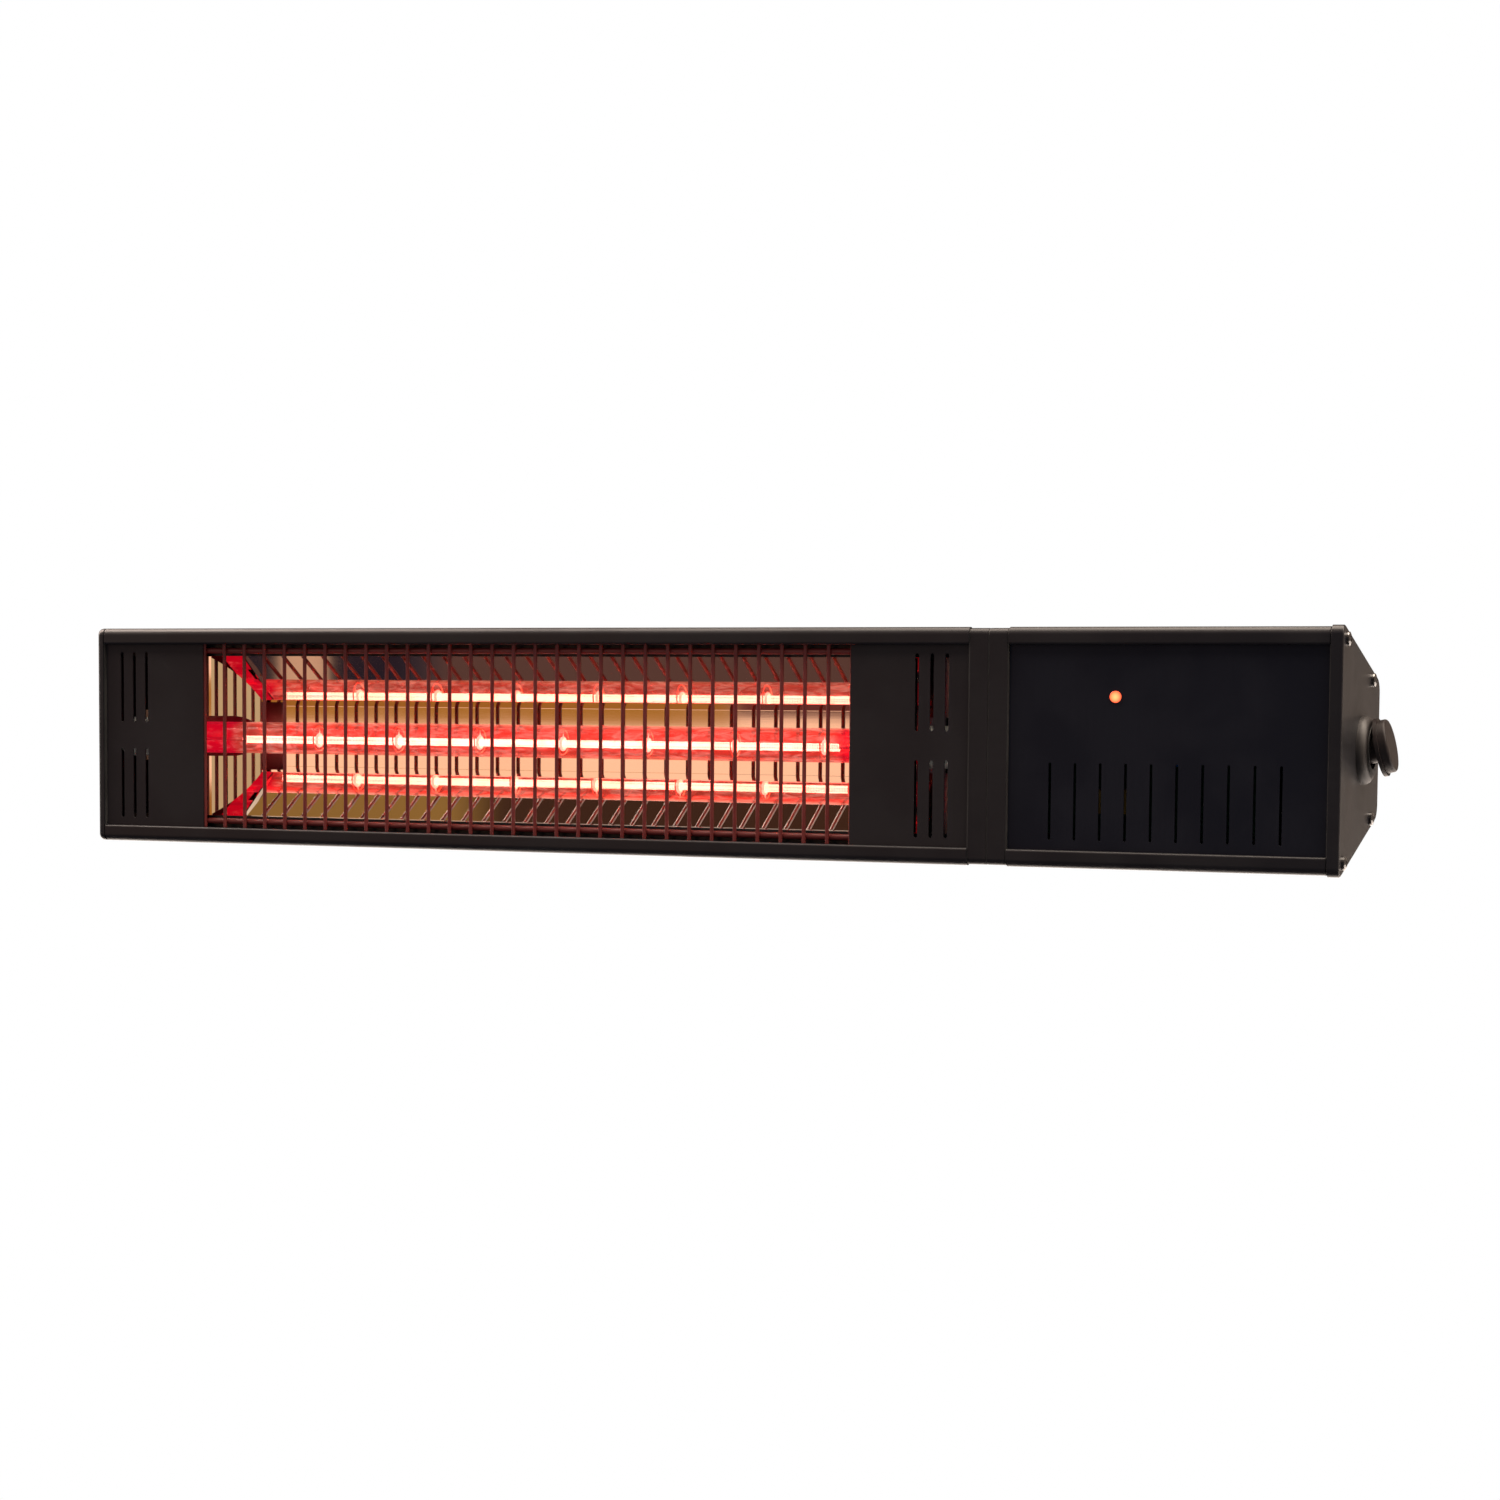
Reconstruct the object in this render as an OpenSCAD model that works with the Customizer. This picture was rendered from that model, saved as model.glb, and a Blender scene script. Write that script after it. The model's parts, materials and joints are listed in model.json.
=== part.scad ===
// Wall-mounted infrared radiant heater with a control box at its right end.
// Lengths are in millimetres. X runs along the body, Y from its front to the wall, and Z up.
// The origin is the centre of the wall bracket's back face, on the wall.
// A depth is counted from the plane of the front rails towards the wall.

/* [Body] */
// Height of the body across its front rails
body_h = 110; // [106:1:120]
// Depth from the front rails to the flat back
body_d = 88; // [86:1:98]
// Slope of the top and bottom flanks, in degrees
flank_deg = 15.9; // [14:0.1:16.5]
// Radius of the front edges
front_r = 3.5; // [3:0.5:5]
// Radius of the back edges
back_r = 7; // [5:0.5:8]
// Wall of the aluminium extrusions
wall = 2.4; // [2.2:0.1:2.8]
// Height of each front rail
rail_h = 8.2; // [7.8:0.1:8.8]
// Length of the control housing
control_l = 147.3; // [140:1:200]
// Thickness of the sealing gaskets
gasket_t = 0.6; // [0.4:0.1:1]
// How far a gasket stays back from the outside
gasket_inset = 0.8; // [0.5:0.1:1.2]
// Thickness of the left end cap
left_cap_t = 3.9; // [3:0.1:6]
// Thickness of the two caps that meet at the seam
inner_cap_t = 8.7; // [8:0.1:12]
// Thickness of the right end cap
right_cap_t = 5.5; // [4.5:0.1:7]
// How far the right end cap stands proud of the extrusions
cap_proud = 0.7; // [0.3:0.1:1.2]
// How far the caps at the seam stay below the extrusions
seam_dip = 0.5; // [0.2:0.1:1]
// Radius of the hole that leads the wires through the seam
pass_r = 8; // [7:0.5:10]
// Depth of the wire pass
pass_d = 60; // [54:1:64]

/* [Screws] */
// Depth of the front screw channels
boss_front_d = 8; // [8:0.1:8.6]
// Depth of the back screw channels
boss_back_d = 70; // [66:1:72]
// Distance of the screw channels inside the flanks
boss_inset = 4.1; // [3.9:0.1:4.4]
// Outer radius of a screw channel
boss_r = 2.9; // [2.6:0.1:3]
// Radius of the thread in a screw channel
thread_r = 1.4; // [1.2:0.1:1.5]
// Radius of a cap screw's head
screw_head_r = 3.1; // [2.8:0.1:3.3]
// Height of a cap screw's head
screw_head_h = 2; // [1.6:0.1:2.4]
// Reach of a cap screw into its channel
screw_reach = 12; // [8:1:20]
// Radius of the bolts that join the two caps at the seam
join_r = 2; // [1.5:0.1:2.3]
// Width across the flats of the joining bolts and nuts
join_af = 7; // [6:0.5:7.5]
// Distance of the front joining bolts inside the flanks
join_front_in = 16.4; // [14:0.1:20]
// Distance of the back joining bolts inside the flanks
join_back_in = 12.5; // [12.4:0.1:16]

/* [Front covers] */
// Length of the cover plate at each side of the window
cover_l = 58.5; // [54:0.5:70]
// Length of the window between the cover plates
window_l = 354.5; // [300:0.5:420]
// Sheet thickness of the cover plates and the control panel
sheet_t = 0.8; // [0.6:0.1:0.8]
// How far the sheets reach under the rails
tuck = 2.6; // [2:0.1:2.8]
// Depth of the folded edge of the sheets
fold_d = 2.4; // [1.6:0.1:2.6]
// Width of a vent slot
slot_w = 1.8; // [1.4:0.1:2.4]
// Spacing of the vent slots in a cover plate
slot_pitch = 7.35; // [6:0.05:9]
// Height of a vent slot in a cover plate
slot_h = 36; // [28:0.5:38]
// Half the height of the bridge between upper and lower slots
slot_gap = 6.8; // [5:0.1:9]
// Distance of the left plate's first slot from the cap
slot_left = 9.6; // [7:0.1:14]
// Distance of the right plate's last slot from the seam
slot_right = 11; // [8:0.1:14]

/* [Guard] */
// Number of guard wires across the window
wire_n = 31; // [25:1:37]
// Radius of a guard wire
wire_r = 0.95; // [0.7:0.05:1]
// Gap between the rails and the guard wires
wire_gap = 0.85; // [0.8:0.05:0.9]
// Radius of the rods that carry the wires
rod_r = 1.5; // [1.3:0.1:1.6]
// Height of the reflector's lip that shows beside each rod
strip_h = 0.6; // [0.2:0.1:0.7]
// Height of the dark rim between a rail and the reflector
rim_h = 5.8; // [5.4:0.1:6.2]

/* [Reflector] */
// Depth of the reflector's flat back
refl_d = 30.25; // [29.5:0.25:33]
// Half the height of the flat back
refl_flat = 15.4; // [14.5:0.1:16]
// Radius of the bend between back and flank
refl_bend_r = 15.3; // [13:0.1:16]
// Turn of the bend before the crease, in degrees
refl_bend_deg = 13.5; // [12:0.5:15]
// Lean of the reflector's flanks from upright, in degrees
refl_lean = 28.9; // [27:0.1:30]
// Thickness of the reflector sheet
refl_t = 0.6; // [0.4:0.1:0.8]
// Depth of the slanted ends at their inner edge
end_d = 25.6; // [23:0.1:27]
// Half the height of a slanted end at its inner edge
end_z = 18.6; // [17.6:0.1:20]
// Radius of a slanted end's curved sides
end_side_r = 63; // [55:1:75]
// Turn of the slanted ends away from the front plane, in degrees
end_deg = 49.2; // [45:0.1:52]
// Distance from the window's edge to the start of a slanted end
end_in = 3.2; // [2.5:0.1:4]
// How far the reflector runs on past the window's left edge
refl_left = 10.5; // [8:0.5:11.5]
// Length of the notch in the flat back, from the window's left edge
notch_l = 30.9; // [28:0.1:32]
// Half the height of the notch
notch_h = 17.5; // [16:0.1:18]
// How far the reflector's middle lies right of the window's middle
refl_shift = 10.1; // [8.5:0.1:10.5]
// Height of the lamp's opening in a slanted end
lamp_slot_h = 20.6; // [19.4:0.1:22]

/* [Lamp] */
// Depth of the lamp's axis
lamp_d = 14.25; // [14:0.05:14.8]
// Distance of the lamp's axis below the middle of the window
lamp_drop = 0.75; // [0.2:0.05:0.9]
// Outer radius of the quartz tube
tube_r = 8; // [7.2:0.1:8.1]
// Wall of the quartz tube
tube_t = 1.2; // [1:0.1:1.5]
// Length of the quartz tube past each window edge
tube_over = 37; // [32:0.5:38]
// Radius of the coiled filament
coil_r = 2.15; // [1.5:0.05:2.2]
// How far the coil sags below the tube's axis
coil_sag = 0.9; // [0:0.1:1]
// Distance from the window's left edge to the start of the filament
coil_in = 17; // [12:0.5:24]
// Distance from the end of the filament to the window's right edge
coil_end_in = 10; // [8:0.5:16]
// Number of filament supports
support_n = 7; // [5:1:7]
// Pitch of the filament supports
support_pitch = 45.9; // [40:0.1:47]
// Distance from the last support to the filament's right end
support_in = 7.9; // [4:0.1:12]
// Radius of a ceramic lamp base
base_r = 10; // [9:0.1:10.5]
// Length of a ceramic lamp base
base_l = 18; // [16:0.5:19]
// Length of the flat seal at each end of the tube
pinch_l = 11; // [8:0.5:13]
// Thickness of the flat seal
pinch_t = 3; // [2:0.1:4]
// Width of the flat seal
pinch_w = 10; // [7:0.5:12]
// Width of a lamp holder
holder_w = 9; // [7:0.5:11]
// Depth of the heat shield behind the reflector
shield_d = 38; // [36:0.5:42]

/* [Control box] */
// Length of the circuit board
board_l = 112; // [104:1:116]
// Depth of the ledges that carry the board and the lamp holders
ledge_d = 26; // [25.5:0.1:28]
// Thickness of the circuit board
board_t = 1.6; // [1:0.1:2.4]
// Radius of the board's screws
board_screw_r = 1.2; // [1:0.1:1.5]
// Length of the heat sink
sink_l = 30; // [20:1:34]
// Height of the heat sink
sink_h = 44; // [30:1:50]
// Depth of the heat sink's fins
fin_d = 14; // [8:1:16]
// Number of slots in the control panel
panel_slots = 10; // [6:1:11]
// Spacing of the slots in the control panel
panel_pitch = 11.85; // [10:0.05:12]
// Width of a slot in the control panel
panel_slot_w = 1.3; // [1:0.1:2]
// Height of the slots in the control panel
panel_slot_h = 35.4; // [28:0.2:38]
// Height of the slots' upper end below the centre
panel_slot_z = 6.9; // [4:0.1:7.5]
// Distance from the panel's left end to its first slot
panel_slot_x = 19.8; // [14:0.1:26]
// Distance from the panel's left end to the indicator
led_x = 50.2; // [44:0.1:56]
// Height of the indicator above the centre
led_z = 23.3; // [18:0.1:30]
// Radius of the indicator lens
lens_r = 2.6; // [2:0.1:3]
// Distance from the control housing's right end to the cable gland
gland_x = 44; // [30:1:60]
// Radius of the cable that the gland takes
cable_r = 4.5; // [3.5:0.1:5]

/* [Switch] */
// Depth of the switch's axis
switch_d = 48; // [44:1:52]
// Radius of the switch's collar
collar_r = 15.6; // [15:0.1:17]
// How far the collar stands out of the cap
collar_h = 4.6; // [4:0.1:5]
// Radius of the threaded barrel
barrel_r = 12; // [11.6:0.1:12.6]
// Length of the barrel behind the cap's face
barrel_l = 13; // [11:0.5:16]
// Radius of the rocker's lip
lip_r = 13.4; // [13:0.1:13.8]
// Radius of the rocker's round button
button_r = 12.2; // [11.5:0.1:12.6]
// Distance of the rocker's face from its pivot
button_h = 11.7; // [10:0.1:14]
// Distance of the rocker's lip from its pivot
lip_h = 6.9; // [6.7:0.1:8]
// Distance of the rocker's pivot from the cap's face
rock_out = 2; // [1.8:0.1:2.4]
// Tilt of the rocker at each of its two positions, in degrees
rock_deg = 12; // [9:0.5:12]
// Radius of the rocker's pin
rock_pin_r = 1.2; // [1:0.1:1.5]

/* [Bracket] */
// Distance from the wall to the body's flat back
standoff = 75; // [72:1:90]
// Distance from the tilt axis to the body's flat back
pivot_back = 30; // [30:1:34]
// Spacing of the body bracket's ears, outside to outside
ear_span = 123; // [100:1:150]
// Sheet thickness of the brackets
steel_t = 3; // [2:0.5:4]
// Radius of the body bracket's ears
body_ear_r = 24; // [22:0.5:25]
// Radius of the wall bracket's ears
wall_ear_r = 27.5; // [26:0.5:28]
// Height of the wall plate
plate_h = 80; // [76:1:100]
// Horizontal spacing of the wall holes
wall_dx = 90; // [80:1:96]
// Vertical spacing of the wall holes
wall_dz = 60; // [50:1:62]
// Radius of the wall holes
wall_hole_r = 3.25; // [2.5:0.05:4]
// Radius of the bracket's bolts
bolt_r = 3; // [2.5:0.1:3.2]
// Running clearance of the tilt bolts, on the radius
pivot_fit = 0.06; // [0.03:0.01:0.09]
// Distance of the lock bolts from the tilt axis
lock_r = 17; // [16.5:0.1:17.5]
// Largest downward tilt, in degrees
tilt_max = 45; // [30:1:50]
// Thickness of the friction washers
washer_t = 1; // [0.8:0.1:1.5]
// Radius of the friction washers
washer_r = 12; // [10:0.5:12.5]
// Radius of the lock knobs
knob_r = 10.5; // [9:0.5:10.5]
// Horizontal spacing of the rail bolts
rail_dx = 80; // [60:1:90]
// Height of each T-slot from the centre
tslot_z = 18; // [17.5:0.1:18.5]

/* [Hidden] */
$fn = 64;

eps = 0.01;
clear = 0.3;
fit = 0.05;
black = [0.09, 0.09, 0.1];
dark = [0.16, 0.15, 0.16];
steel = [0.72, 0.73, 0.75];
mirror_gold = [0.86, 0.78, 0.66];
ruby = [0.8, 0.05, 0.08];
rubber = [0.05, 0.05, 0.05];

heater_l = 2 * cover_l + window_l;
total_l = left_cap_t + heater_l + 2 * inner_cap_t + control_l + right_cap_t + 5 * gasket_t;
heater_x0 = -total_l / 2 + left_cap_t + gasket_t;
heater_x1 = heater_x0 + heater_l;
seam_x0 = heater_x1 + gasket_t + inner_cap_t;
control_cap_x = seam_x0 + gasket_t;
control_x0 = control_cap_x + inner_cap_t + gasket_t;
control_x1 = control_x0 + control_l;
right_cap_x = control_x1 + gasket_t;
right_x = right_cap_x + right_cap_t;
window_x0 = heater_x0 + cover_l;
window_x1 = window_x0 + window_l;
window_xm = (window_x0 + window_x1) / 2;
refl_xm = window_xm + refl_shift;
refl_x0 = window_x0 - refl_left;

back_y = -standoff;
front_y = back_y - body_d;
pivot_y = back_y + pivot_back;

// The flank line meets the rounded front edge at the full height of the body.
flank_z = body_h / 2 + front_r * (tan(flank_deg) + 1 / cos(flank_deg) - 1);
open_z = body_h / 2 - rail_h;
plate_z = open_z + tuck;
refl_z = open_z - rim_h;
wire_d = wall + wire_gap + wire_r;
rod_d = wire_d + wire_r + rod_r + fit;
rim_d = rod_d + rod_r + clear;
ledge_t = 1.5;
flange_d = rim_d + ledge_t;
rod_z = refl_z + refl_t + strip_h + rod_r;
tslot_w = 11;
tslot_deep = 5;
tslot_open = 6.8;
ledge_in = 6.6;
shield_t = 0.8;
shield_ledge_d = shield_d + shield_t;

function flank_at(d) = flank_z - d * tan(flank_deg);
function inner_at(d) = flank_at(d) - wall / cos(flank_deg);
function boss_z(d) = flank_at(d) - boss_inset / cos(flank_deg);
bosses = [for (d = [boss_front_d, boss_back_d], s = [-1, 1]) [d, s * boss_z(d)]];

// ---- helpers ----

// Extrudes a shape drawn in depth and height along the body.
module along_x(x0, len) {
    translate([x0, front_y, 0])
        rotate([90, 0, 90])
            linear_extrude(len) children();
}

// Extrudes a shape drawn in length and height, from depth d to d + t.
module on_front(d, t) {
    translate([0, front_y + d + t, 0])
        rotate([90, 0, 0])
            linear_extrude(t) children();
}

// A round bar along the body from x, at a depth and a height.
module bar_x(x, d, z, r, len) {
    translate([x, front_y + d, z])
        rotate([0, 90, 0])
            cylinder(r = r, h = len);
}

// A round bar towards the wall from depth d.
module bar_y(x, d, z, r, len) {
    translate([x, front_y + d, z])
        rotate([-90, 0, 0])
            cylinder(r = r, h = len);
}

// A block from a low to a high corner, given in length, depth and height.
module block(low, high) {
    translate([low[0], front_y + low[1], low[2]])
        cube([high[0] - low[0], high[1] - low[1], high[2] - low[2]]);
}

// A round-ended wire along a list of points in length, depth and height.
module wire_along(points, r) {
    for (i = [0 : len(points) - 2]) {
        run = points[i + 1] - points[i];
        translate([points[i][0], front_y + points[i][1], points[i][2]]) {
            if (abs(run[0]) > eps)
                rotate([0, 90, 0]) translate([0, 0, min(0, run[0])]) cylinder(r = r, h = abs(run[0]));
            else if (abs(run[1]) > eps)
                rotate([-90, 0, 0]) translate([0, 0, min(0, run[1])]) cylinder(r = r, h = abs(run[1]));
            else
                translate([0, 0, min(0, run[2])]) cylinder(r = r, h = abs(run[2]));
        }
    }
    for (i = [1 : len(points) - 2])
        translate([points[i][0], front_y + points[i][1], points[i][2]]) sphere(r = r);
}

// The sharp corner of two sides that touch a circle, by their unit directions a and b.
function corner_tip(c, r, a, b) = c + r * (a + b) / (1 + a * b);

// The sliver between a sharp corner and its round, for cutting the corner off.
module corner_off(c, r, a, b) {
    past = 1.3;
    difference() {
        polygon([c, c + past * r * a, c + past * (corner_tip(c, r, a, b) - c), c + past * r * b]);
        translate(c) circle(r = r);
    }
}

// The outline of the body in depth and height, grown or shrunk all round.
module body_outline(grow = 0) {
    db = body_d - back_r;
    up = [sin(flank_deg), cos(flank_deg)];
    front = [-1, 0];
    back = [1, 0];
    cf = [front_r, flank_at(front_r) - front_r / cos(flank_deg)];
    cb = [db, flank_at(db) - back_r / cos(flank_deg)];
    tf = corner_tip(cf, front_r + grow, front, up);
    tb = corner_tip(cb, back_r + grow, back, up);
    difference() {
        polygon([tf, tb, [tb[0], -tb[1]], [tf[0], -tf[1]]]);
        for (s = [0, 1]) mirror([0, s]) {
            corner_off(cf, front_r + grow, front, up);
            corner_off(cb, back_r + grow, back, up);
        }
    }
}

// The outline of the space in front of the reflector, grown by the sheet.
module trough_outline(grow, front) {
    c = [refl_d - refl_bend_r, refl_flat];
    n = [cos(refl_lean), sin(refl_lean)];
    m = [cos(refl_bend_deg), sin(refl_bend_deg)];
    r = refl_bend_r + grow;
    edge = refl_z + grow;
    // Both lines through the crease, moved outward by grow.
    on_flank = (c + refl_bend_r * m) * n + grow;
    on_bend = c * m + r;
    turn = n[0] * m[1] - n[1] * m[0];
    crease = [(on_flank * m[1] - on_bend * n[1]) / turn, (n[0] * on_bend - m[0] * on_flank) / turn];
    edge_d = (on_flank - edge * n[1]) / n[0];
    half = [[front, edge], [edge_d, edge], crease, corner_tip(c, r, m, [1, 0])];
    difference() {
        polygon(concat(half, [for (i = [3 : -1 : 0]) [half[i][0], -half[i][1]]]));
        for (s = [0, 1]) mirror([0, s]) corner_off(c, r, m, [1, 0]);
    }
}

// A ledge along the inside of both flanks, with its front at depth d and its edge at height z.
module ledges(d, z) {
    intersection() {
        body_outline(-wall / 2);
        for (s = [-1, 1])
            translate([d, s > 0 ? z : -body_h]) square([ledge_t, body_h - z]);
    }
}

// The shell of an extrusion in depth and height: open at the front, with rounded rail lips.
module shell_outline() {
    difference() {
        body_outline(0);
        body_outline(-wall);
        translate([-1, -open_z]) square([wall + 2, 2 * open_z]);
        for (s = [0, 1], side = [-1, 1]) mirror([0, s])
            corner_off([wall / 2, open_z + wall / 2], wall / 2, [side, 0], [0, -1]);
    }
}

// An extrusion from x0, with its screw channels, inner ledges and two T-slots.
module extrusion(x0, len) {
    slot_wall = 1.8;
    difference() {
        union() {
            along_x(x0, len) shell_outline();
            along_x(x0, len) boss_holes(boss_r);
            along_x(x0, len) ledges(rim_d, refl_z);
            along_x(x0, len) ledges(ledge_d, inner_at(ledge_d) - ledge_in);
            along_x(x0, len) ledges(shield_ledge_d, inner_at(shield_ledge_d) - ledge_in);
            along_x(x0, len) for (s = [-1, 1])
                translate([body_d - wall - tslot_deep - slot_wall, s * tslot_z - tslot_w / 2 - slot_wall])
                    square([tslot_deep + slot_wall + wall / 2, tslot_w + 2 * slot_wall]);
        }
        along_x(x0 - 1, len + 2) boss_holes(thread_r);
        along_x(x0 - 1, len + 2) for (s = [-1, 1]) {
            translate([body_d - wall - tslot_deep, s * tslot_z - tslot_w / 2])
                square([tslot_deep, tslot_w]);
            translate([body_d - wall - 1, s * tslot_z - tslot_open / 2])
                square([wall + 2, tslot_open]);
        }
    }
}

// Four circles on the axes of the screw channels, in depth and height.
module boss_holes(r) {
    for (p = bosses) translate(p) circle(r = r);
}

// A cross-head screw along X: its head's seat is at the origin and it drives towards -X.
module cross_screw(reach) {
    difference() {
        union() {
            rotate([0, 90, 0])
                rotate_extrude() intersection() {
                    square([screw_head_r, screw_head_h]);
                    translate([0, screw_head_h - 2 * screw_head_r]) circle(r = 2 * screw_head_r);
                }
            translate([-reach, 0, 0]) rotate([0, 90, 0]) cylinder(r = thread_r - fit, h = reach + eps);
        }
        for (a = [45, 135])
            translate([screw_head_h, 0, 0]) rotate([a, 0, 0])
                cube([2.2, 3.6, 0.8], center = true);
    }
}

module corner_screws(x, reach, turn) {
    for (p = bosses)
        translate([x, front_y + p[0], p[1]])
            rotate([0, turn, 0]) cross_screw(reach);
}

// A hexagon bolt or nut body along X, by its width across flats.
module hex_x(x, y, z, af, len) {
    translate([x, y, z]) rotate([0, 90, 0])
        rotate([0, 0, 30]) cylinder(r = af / 2 / cos(30), h = len, $fn = 6);
}

// A vertical slot with round ends, in length and height.
module slot_2d(x, z0, z1, w) {
    translate([x - w / 2, z0 + w / 2]) square([w, z1 - z0 - w]);
    for (z = [z0 + w / 2, z1 - w / 2]) translate([x, z]) circle(r = w / 2, $fn = 24);
}

// A front sheet with folded long edges, between x0 and x1. Its cuts are the children.
// The fold stays clear of the window's first wire by fold_a at the left and fold_b at the right.
module front_sheet(x0, x1, fold_a, fold_b) {
    difference() {
        on_front(wall, sheet_t) translate([x0, -plate_z]) square([x1 - x0, 2 * plate_z]);
        on_front(wall - 1, sheet_t + 2) children();
    }
    for (s = [-1, 1])
        on_front(wall, fold_d)
            translate([x0 + fold_a, s > 0 ? plate_z - sheet_t : -plate_z])
                square([x1 - x0 - fold_a - fold_b, sheet_t]);
}

module cover_slots(x_first) {
    for (i = [0 : 2]) {
        slot_2d(x_first + i * slot_pitch, slot_gap, slot_gap + slot_h, slot_w);
        slot_2d(x_first + i * slot_pitch, -slot_gap - slot_h, -slot_gap, slot_w);
    }
}

// ---- wall bracket and tilt hardware ----

ear_x = ear_span / 2;
wall_ear_x = ear_x + washer_t;
wall_half = wall_ear_x + steel_t;
lock_slot = 2 * bolt_r + 0.7;
head_h = 4;
nut_h = 5;
bolt_af = 10;

// The arc slot that the lock bolt slides in, in distance from the wall axis and height.
module lock_arc() {
    over = 1;
    intersection() {
        difference() {
            circle(r = lock_r + lock_slot / 2);
            circle(r = lock_r - lock_slot / 2);
        }
        polygon([[0, 0],
            [80 * sin(-over), 80 * cos(-over)],
            [80 * sin(tilt_max / 2), 80 * cos(tilt_max / 2)],
            [80 * sin(tilt_max + over), 80 * cos(tilt_max + over)]]);
    }
    for (a = [-over, tilt_max + over])
        translate([lock_r * sin(a), lock_r * cos(a)]) circle(r = lock_slot / 2);
}

module ear_plate(x) {
    translate([x, pivot_y, 0])
        rotate([90, 0, 90])
            linear_extrude(steel_t) children();
}

module wall_bracket() {
    color(black) {
        difference() {
            translate([-wall_half, -steel_t, -plate_h / 2])
                cube([2 * wall_half, steel_t, plate_h]);
            for (x = [-wall_dx / 2, wall_dx / 2], z = [-wall_dz / 2, wall_dz / 2])
                translate([x, -steel_t - 1, z]) rotate([-90, 0, 0])
                    cylinder(r = wall_hole_r, h = steel_t + 2);
        }
        for (x = [-wall_half, wall_ear_x])
            ear_plate(x) difference() {
                union() {
                    circle(r = wall_ear_r);
                    translate([0, -wall_ear_r]) square([-pivot_y - steel_t / 2, 2 * wall_ear_r]);
                }
                circle(r = bolt_r + fit);
                mirror([1, 0]) lock_arc();
            }
    }
}

module tilt_bolts() {
    color(steel)
        for (s = [0, 1]) mirror([s, 0, 0]) {
            hex_x(wall_half + fit, pivot_y, 0, bolt_af, head_h);
            translate([ear_x - steel_t - nut_h - 2, pivot_y, 0]) rotate([0, 90, 0])
                cylinder(r = bolt_r, h = wall_half - ear_x + steel_t + nut_h + 2 + 2 * fit);
        }
}

module tilt_nuts() {
    color(steel)
        for (s = [0, 1]) mirror([s, 0, 0])
            difference() {
                hex_x(ear_x - steel_t - nut_h - 0.1, pivot_y, 0, bolt_af, nut_h);
                translate([0, pivot_y, 0]) rotate([0, 90, 0])
                    cylinder(r = bolt_r + fit, h = ear_x);
            }
}

module body_bracket() {
    color(black) {
        difference() {
            translate([-ear_x, back_y, -body_ear_r])
                cube([2 * ear_x, steel_t, 2 * body_ear_r]);
            for (x = [-rail_dx / 2, rail_dx / 2], z = [-tslot_z, tslot_z])
                translate([x, back_y - 1, z]) rotate([-90, 0, 0])
                    cylinder(r = bolt_r + 0.25, h = steel_t + 2);
        }
        for (x = [-ear_x, ear_x - steel_t])
            ear_plate(x) difference() {
                union() {
                    circle(r = body_ear_r);
                    translate([-pivot_back + steel_t / 2, -body_ear_r])
                        square([pivot_back - steel_t / 2, 2 * body_ear_r]);
                }
                circle(r = bolt_r + pivot_fit);
                translate([0, lock_r]) circle(r = bolt_r + fit);
            }
    }
}

module tilt_washers() {
    color("ivory")
        for (s = [0, 1]) mirror([s, 0, 0])
            translate([ear_x, pivot_y, 0]) rotate([0, 90, 0])
                difference() {
                    cylinder(r = washer_r, h = washer_t - fit);
                    translate([0, 0, -1]) cylinder(r = bolt_r + pivot_fit, h = washer_t + 2);
                }
}

module lock_bolts() {
    color(steel)
        for (s = [0, 1]) mirror([s, 0, 0]) {
            hex_x(ear_x - steel_t - head_h, pivot_y, lock_r, bolt_af, head_h);
            translate([ear_x - steel_t - eps, pivot_y, lock_r]) rotate([0, 90, 0])
                cylinder(r = bolt_r, h = wall_half - ear_x + steel_t + 10);
        }
}

module lock_knobs() {
    knob_h = 12;
    lobes = 6;
    color(rubber)
        for (s = [0, 1]) mirror([s, 0, 0])
            translate([wall_half + clear, pivot_y, lock_r]) rotate([0, 90, 0])
                difference() {
                    union() {
                        cylinder(r = 0.6 * knob_r, h = 3);
                        translate([0, 0, 3]) cylinder(r = knob_r, h = knob_h - 3);
                    }
                    translate([0, 0, -1]) cylinder(r = bolt_r + fit, h = knob_h - 1);
                    for (i = [0 : lobes - 1]) rotate(i * 360 / lobes)
                        translate([1.25 * knob_r, 0, -1]) cylinder(r = 0.4 * knob_r, h = knob_h + 2);
                }
}

module rail_bolts() {
    color(steel)
        for (x = [-rail_dx / 2, rail_dx / 2], z = [-tslot_z, tslot_z]) {
            translate([x, back_y - wall - head_h, z]) rotate([-90, 0, 0])
                cylinder(r = bolt_af / 2 / cos(30), h = head_h, $fn = 6);
            translate([x, back_y - wall - eps, z]) rotate([-90, 0, 0])
                cylinder(r = bolt_r, h = wall + steel_t + nut_h + 2);
        }
}

module rail_nuts() {
    color(steel)
        for (x = [-rail_dx / 2, rail_dx / 2], z = [-tslot_z, tslot_z])
            translate([x, back_y + steel_t, z]) rotate([-90, 0, 0])
                difference() {
                    cylinder(r = bolt_af / 2 / cos(30), h = nut_h, $fn = 6);
                    translate([0, 0, -1]) cylinder(r = bolt_r + fit, h = nut_h + 2);
                }
}

// ---- heater section ----

module heater_housing() {
    color(black) extrusion(heater_x0, heater_l);
}

module left_end_cap() {
    color(black)
        along_x(heater_x0 - gasket_t - left_cap_t, left_cap_t)
            difference() {
                body_outline(0);
                boss_holes(thread_r + fit);
            }
}

module left_cap_screws() {
    color(steel) corner_screws(heater_x0 - gasket_t - left_cap_t, left_cap_t + screw_reach, 180);
}

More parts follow.
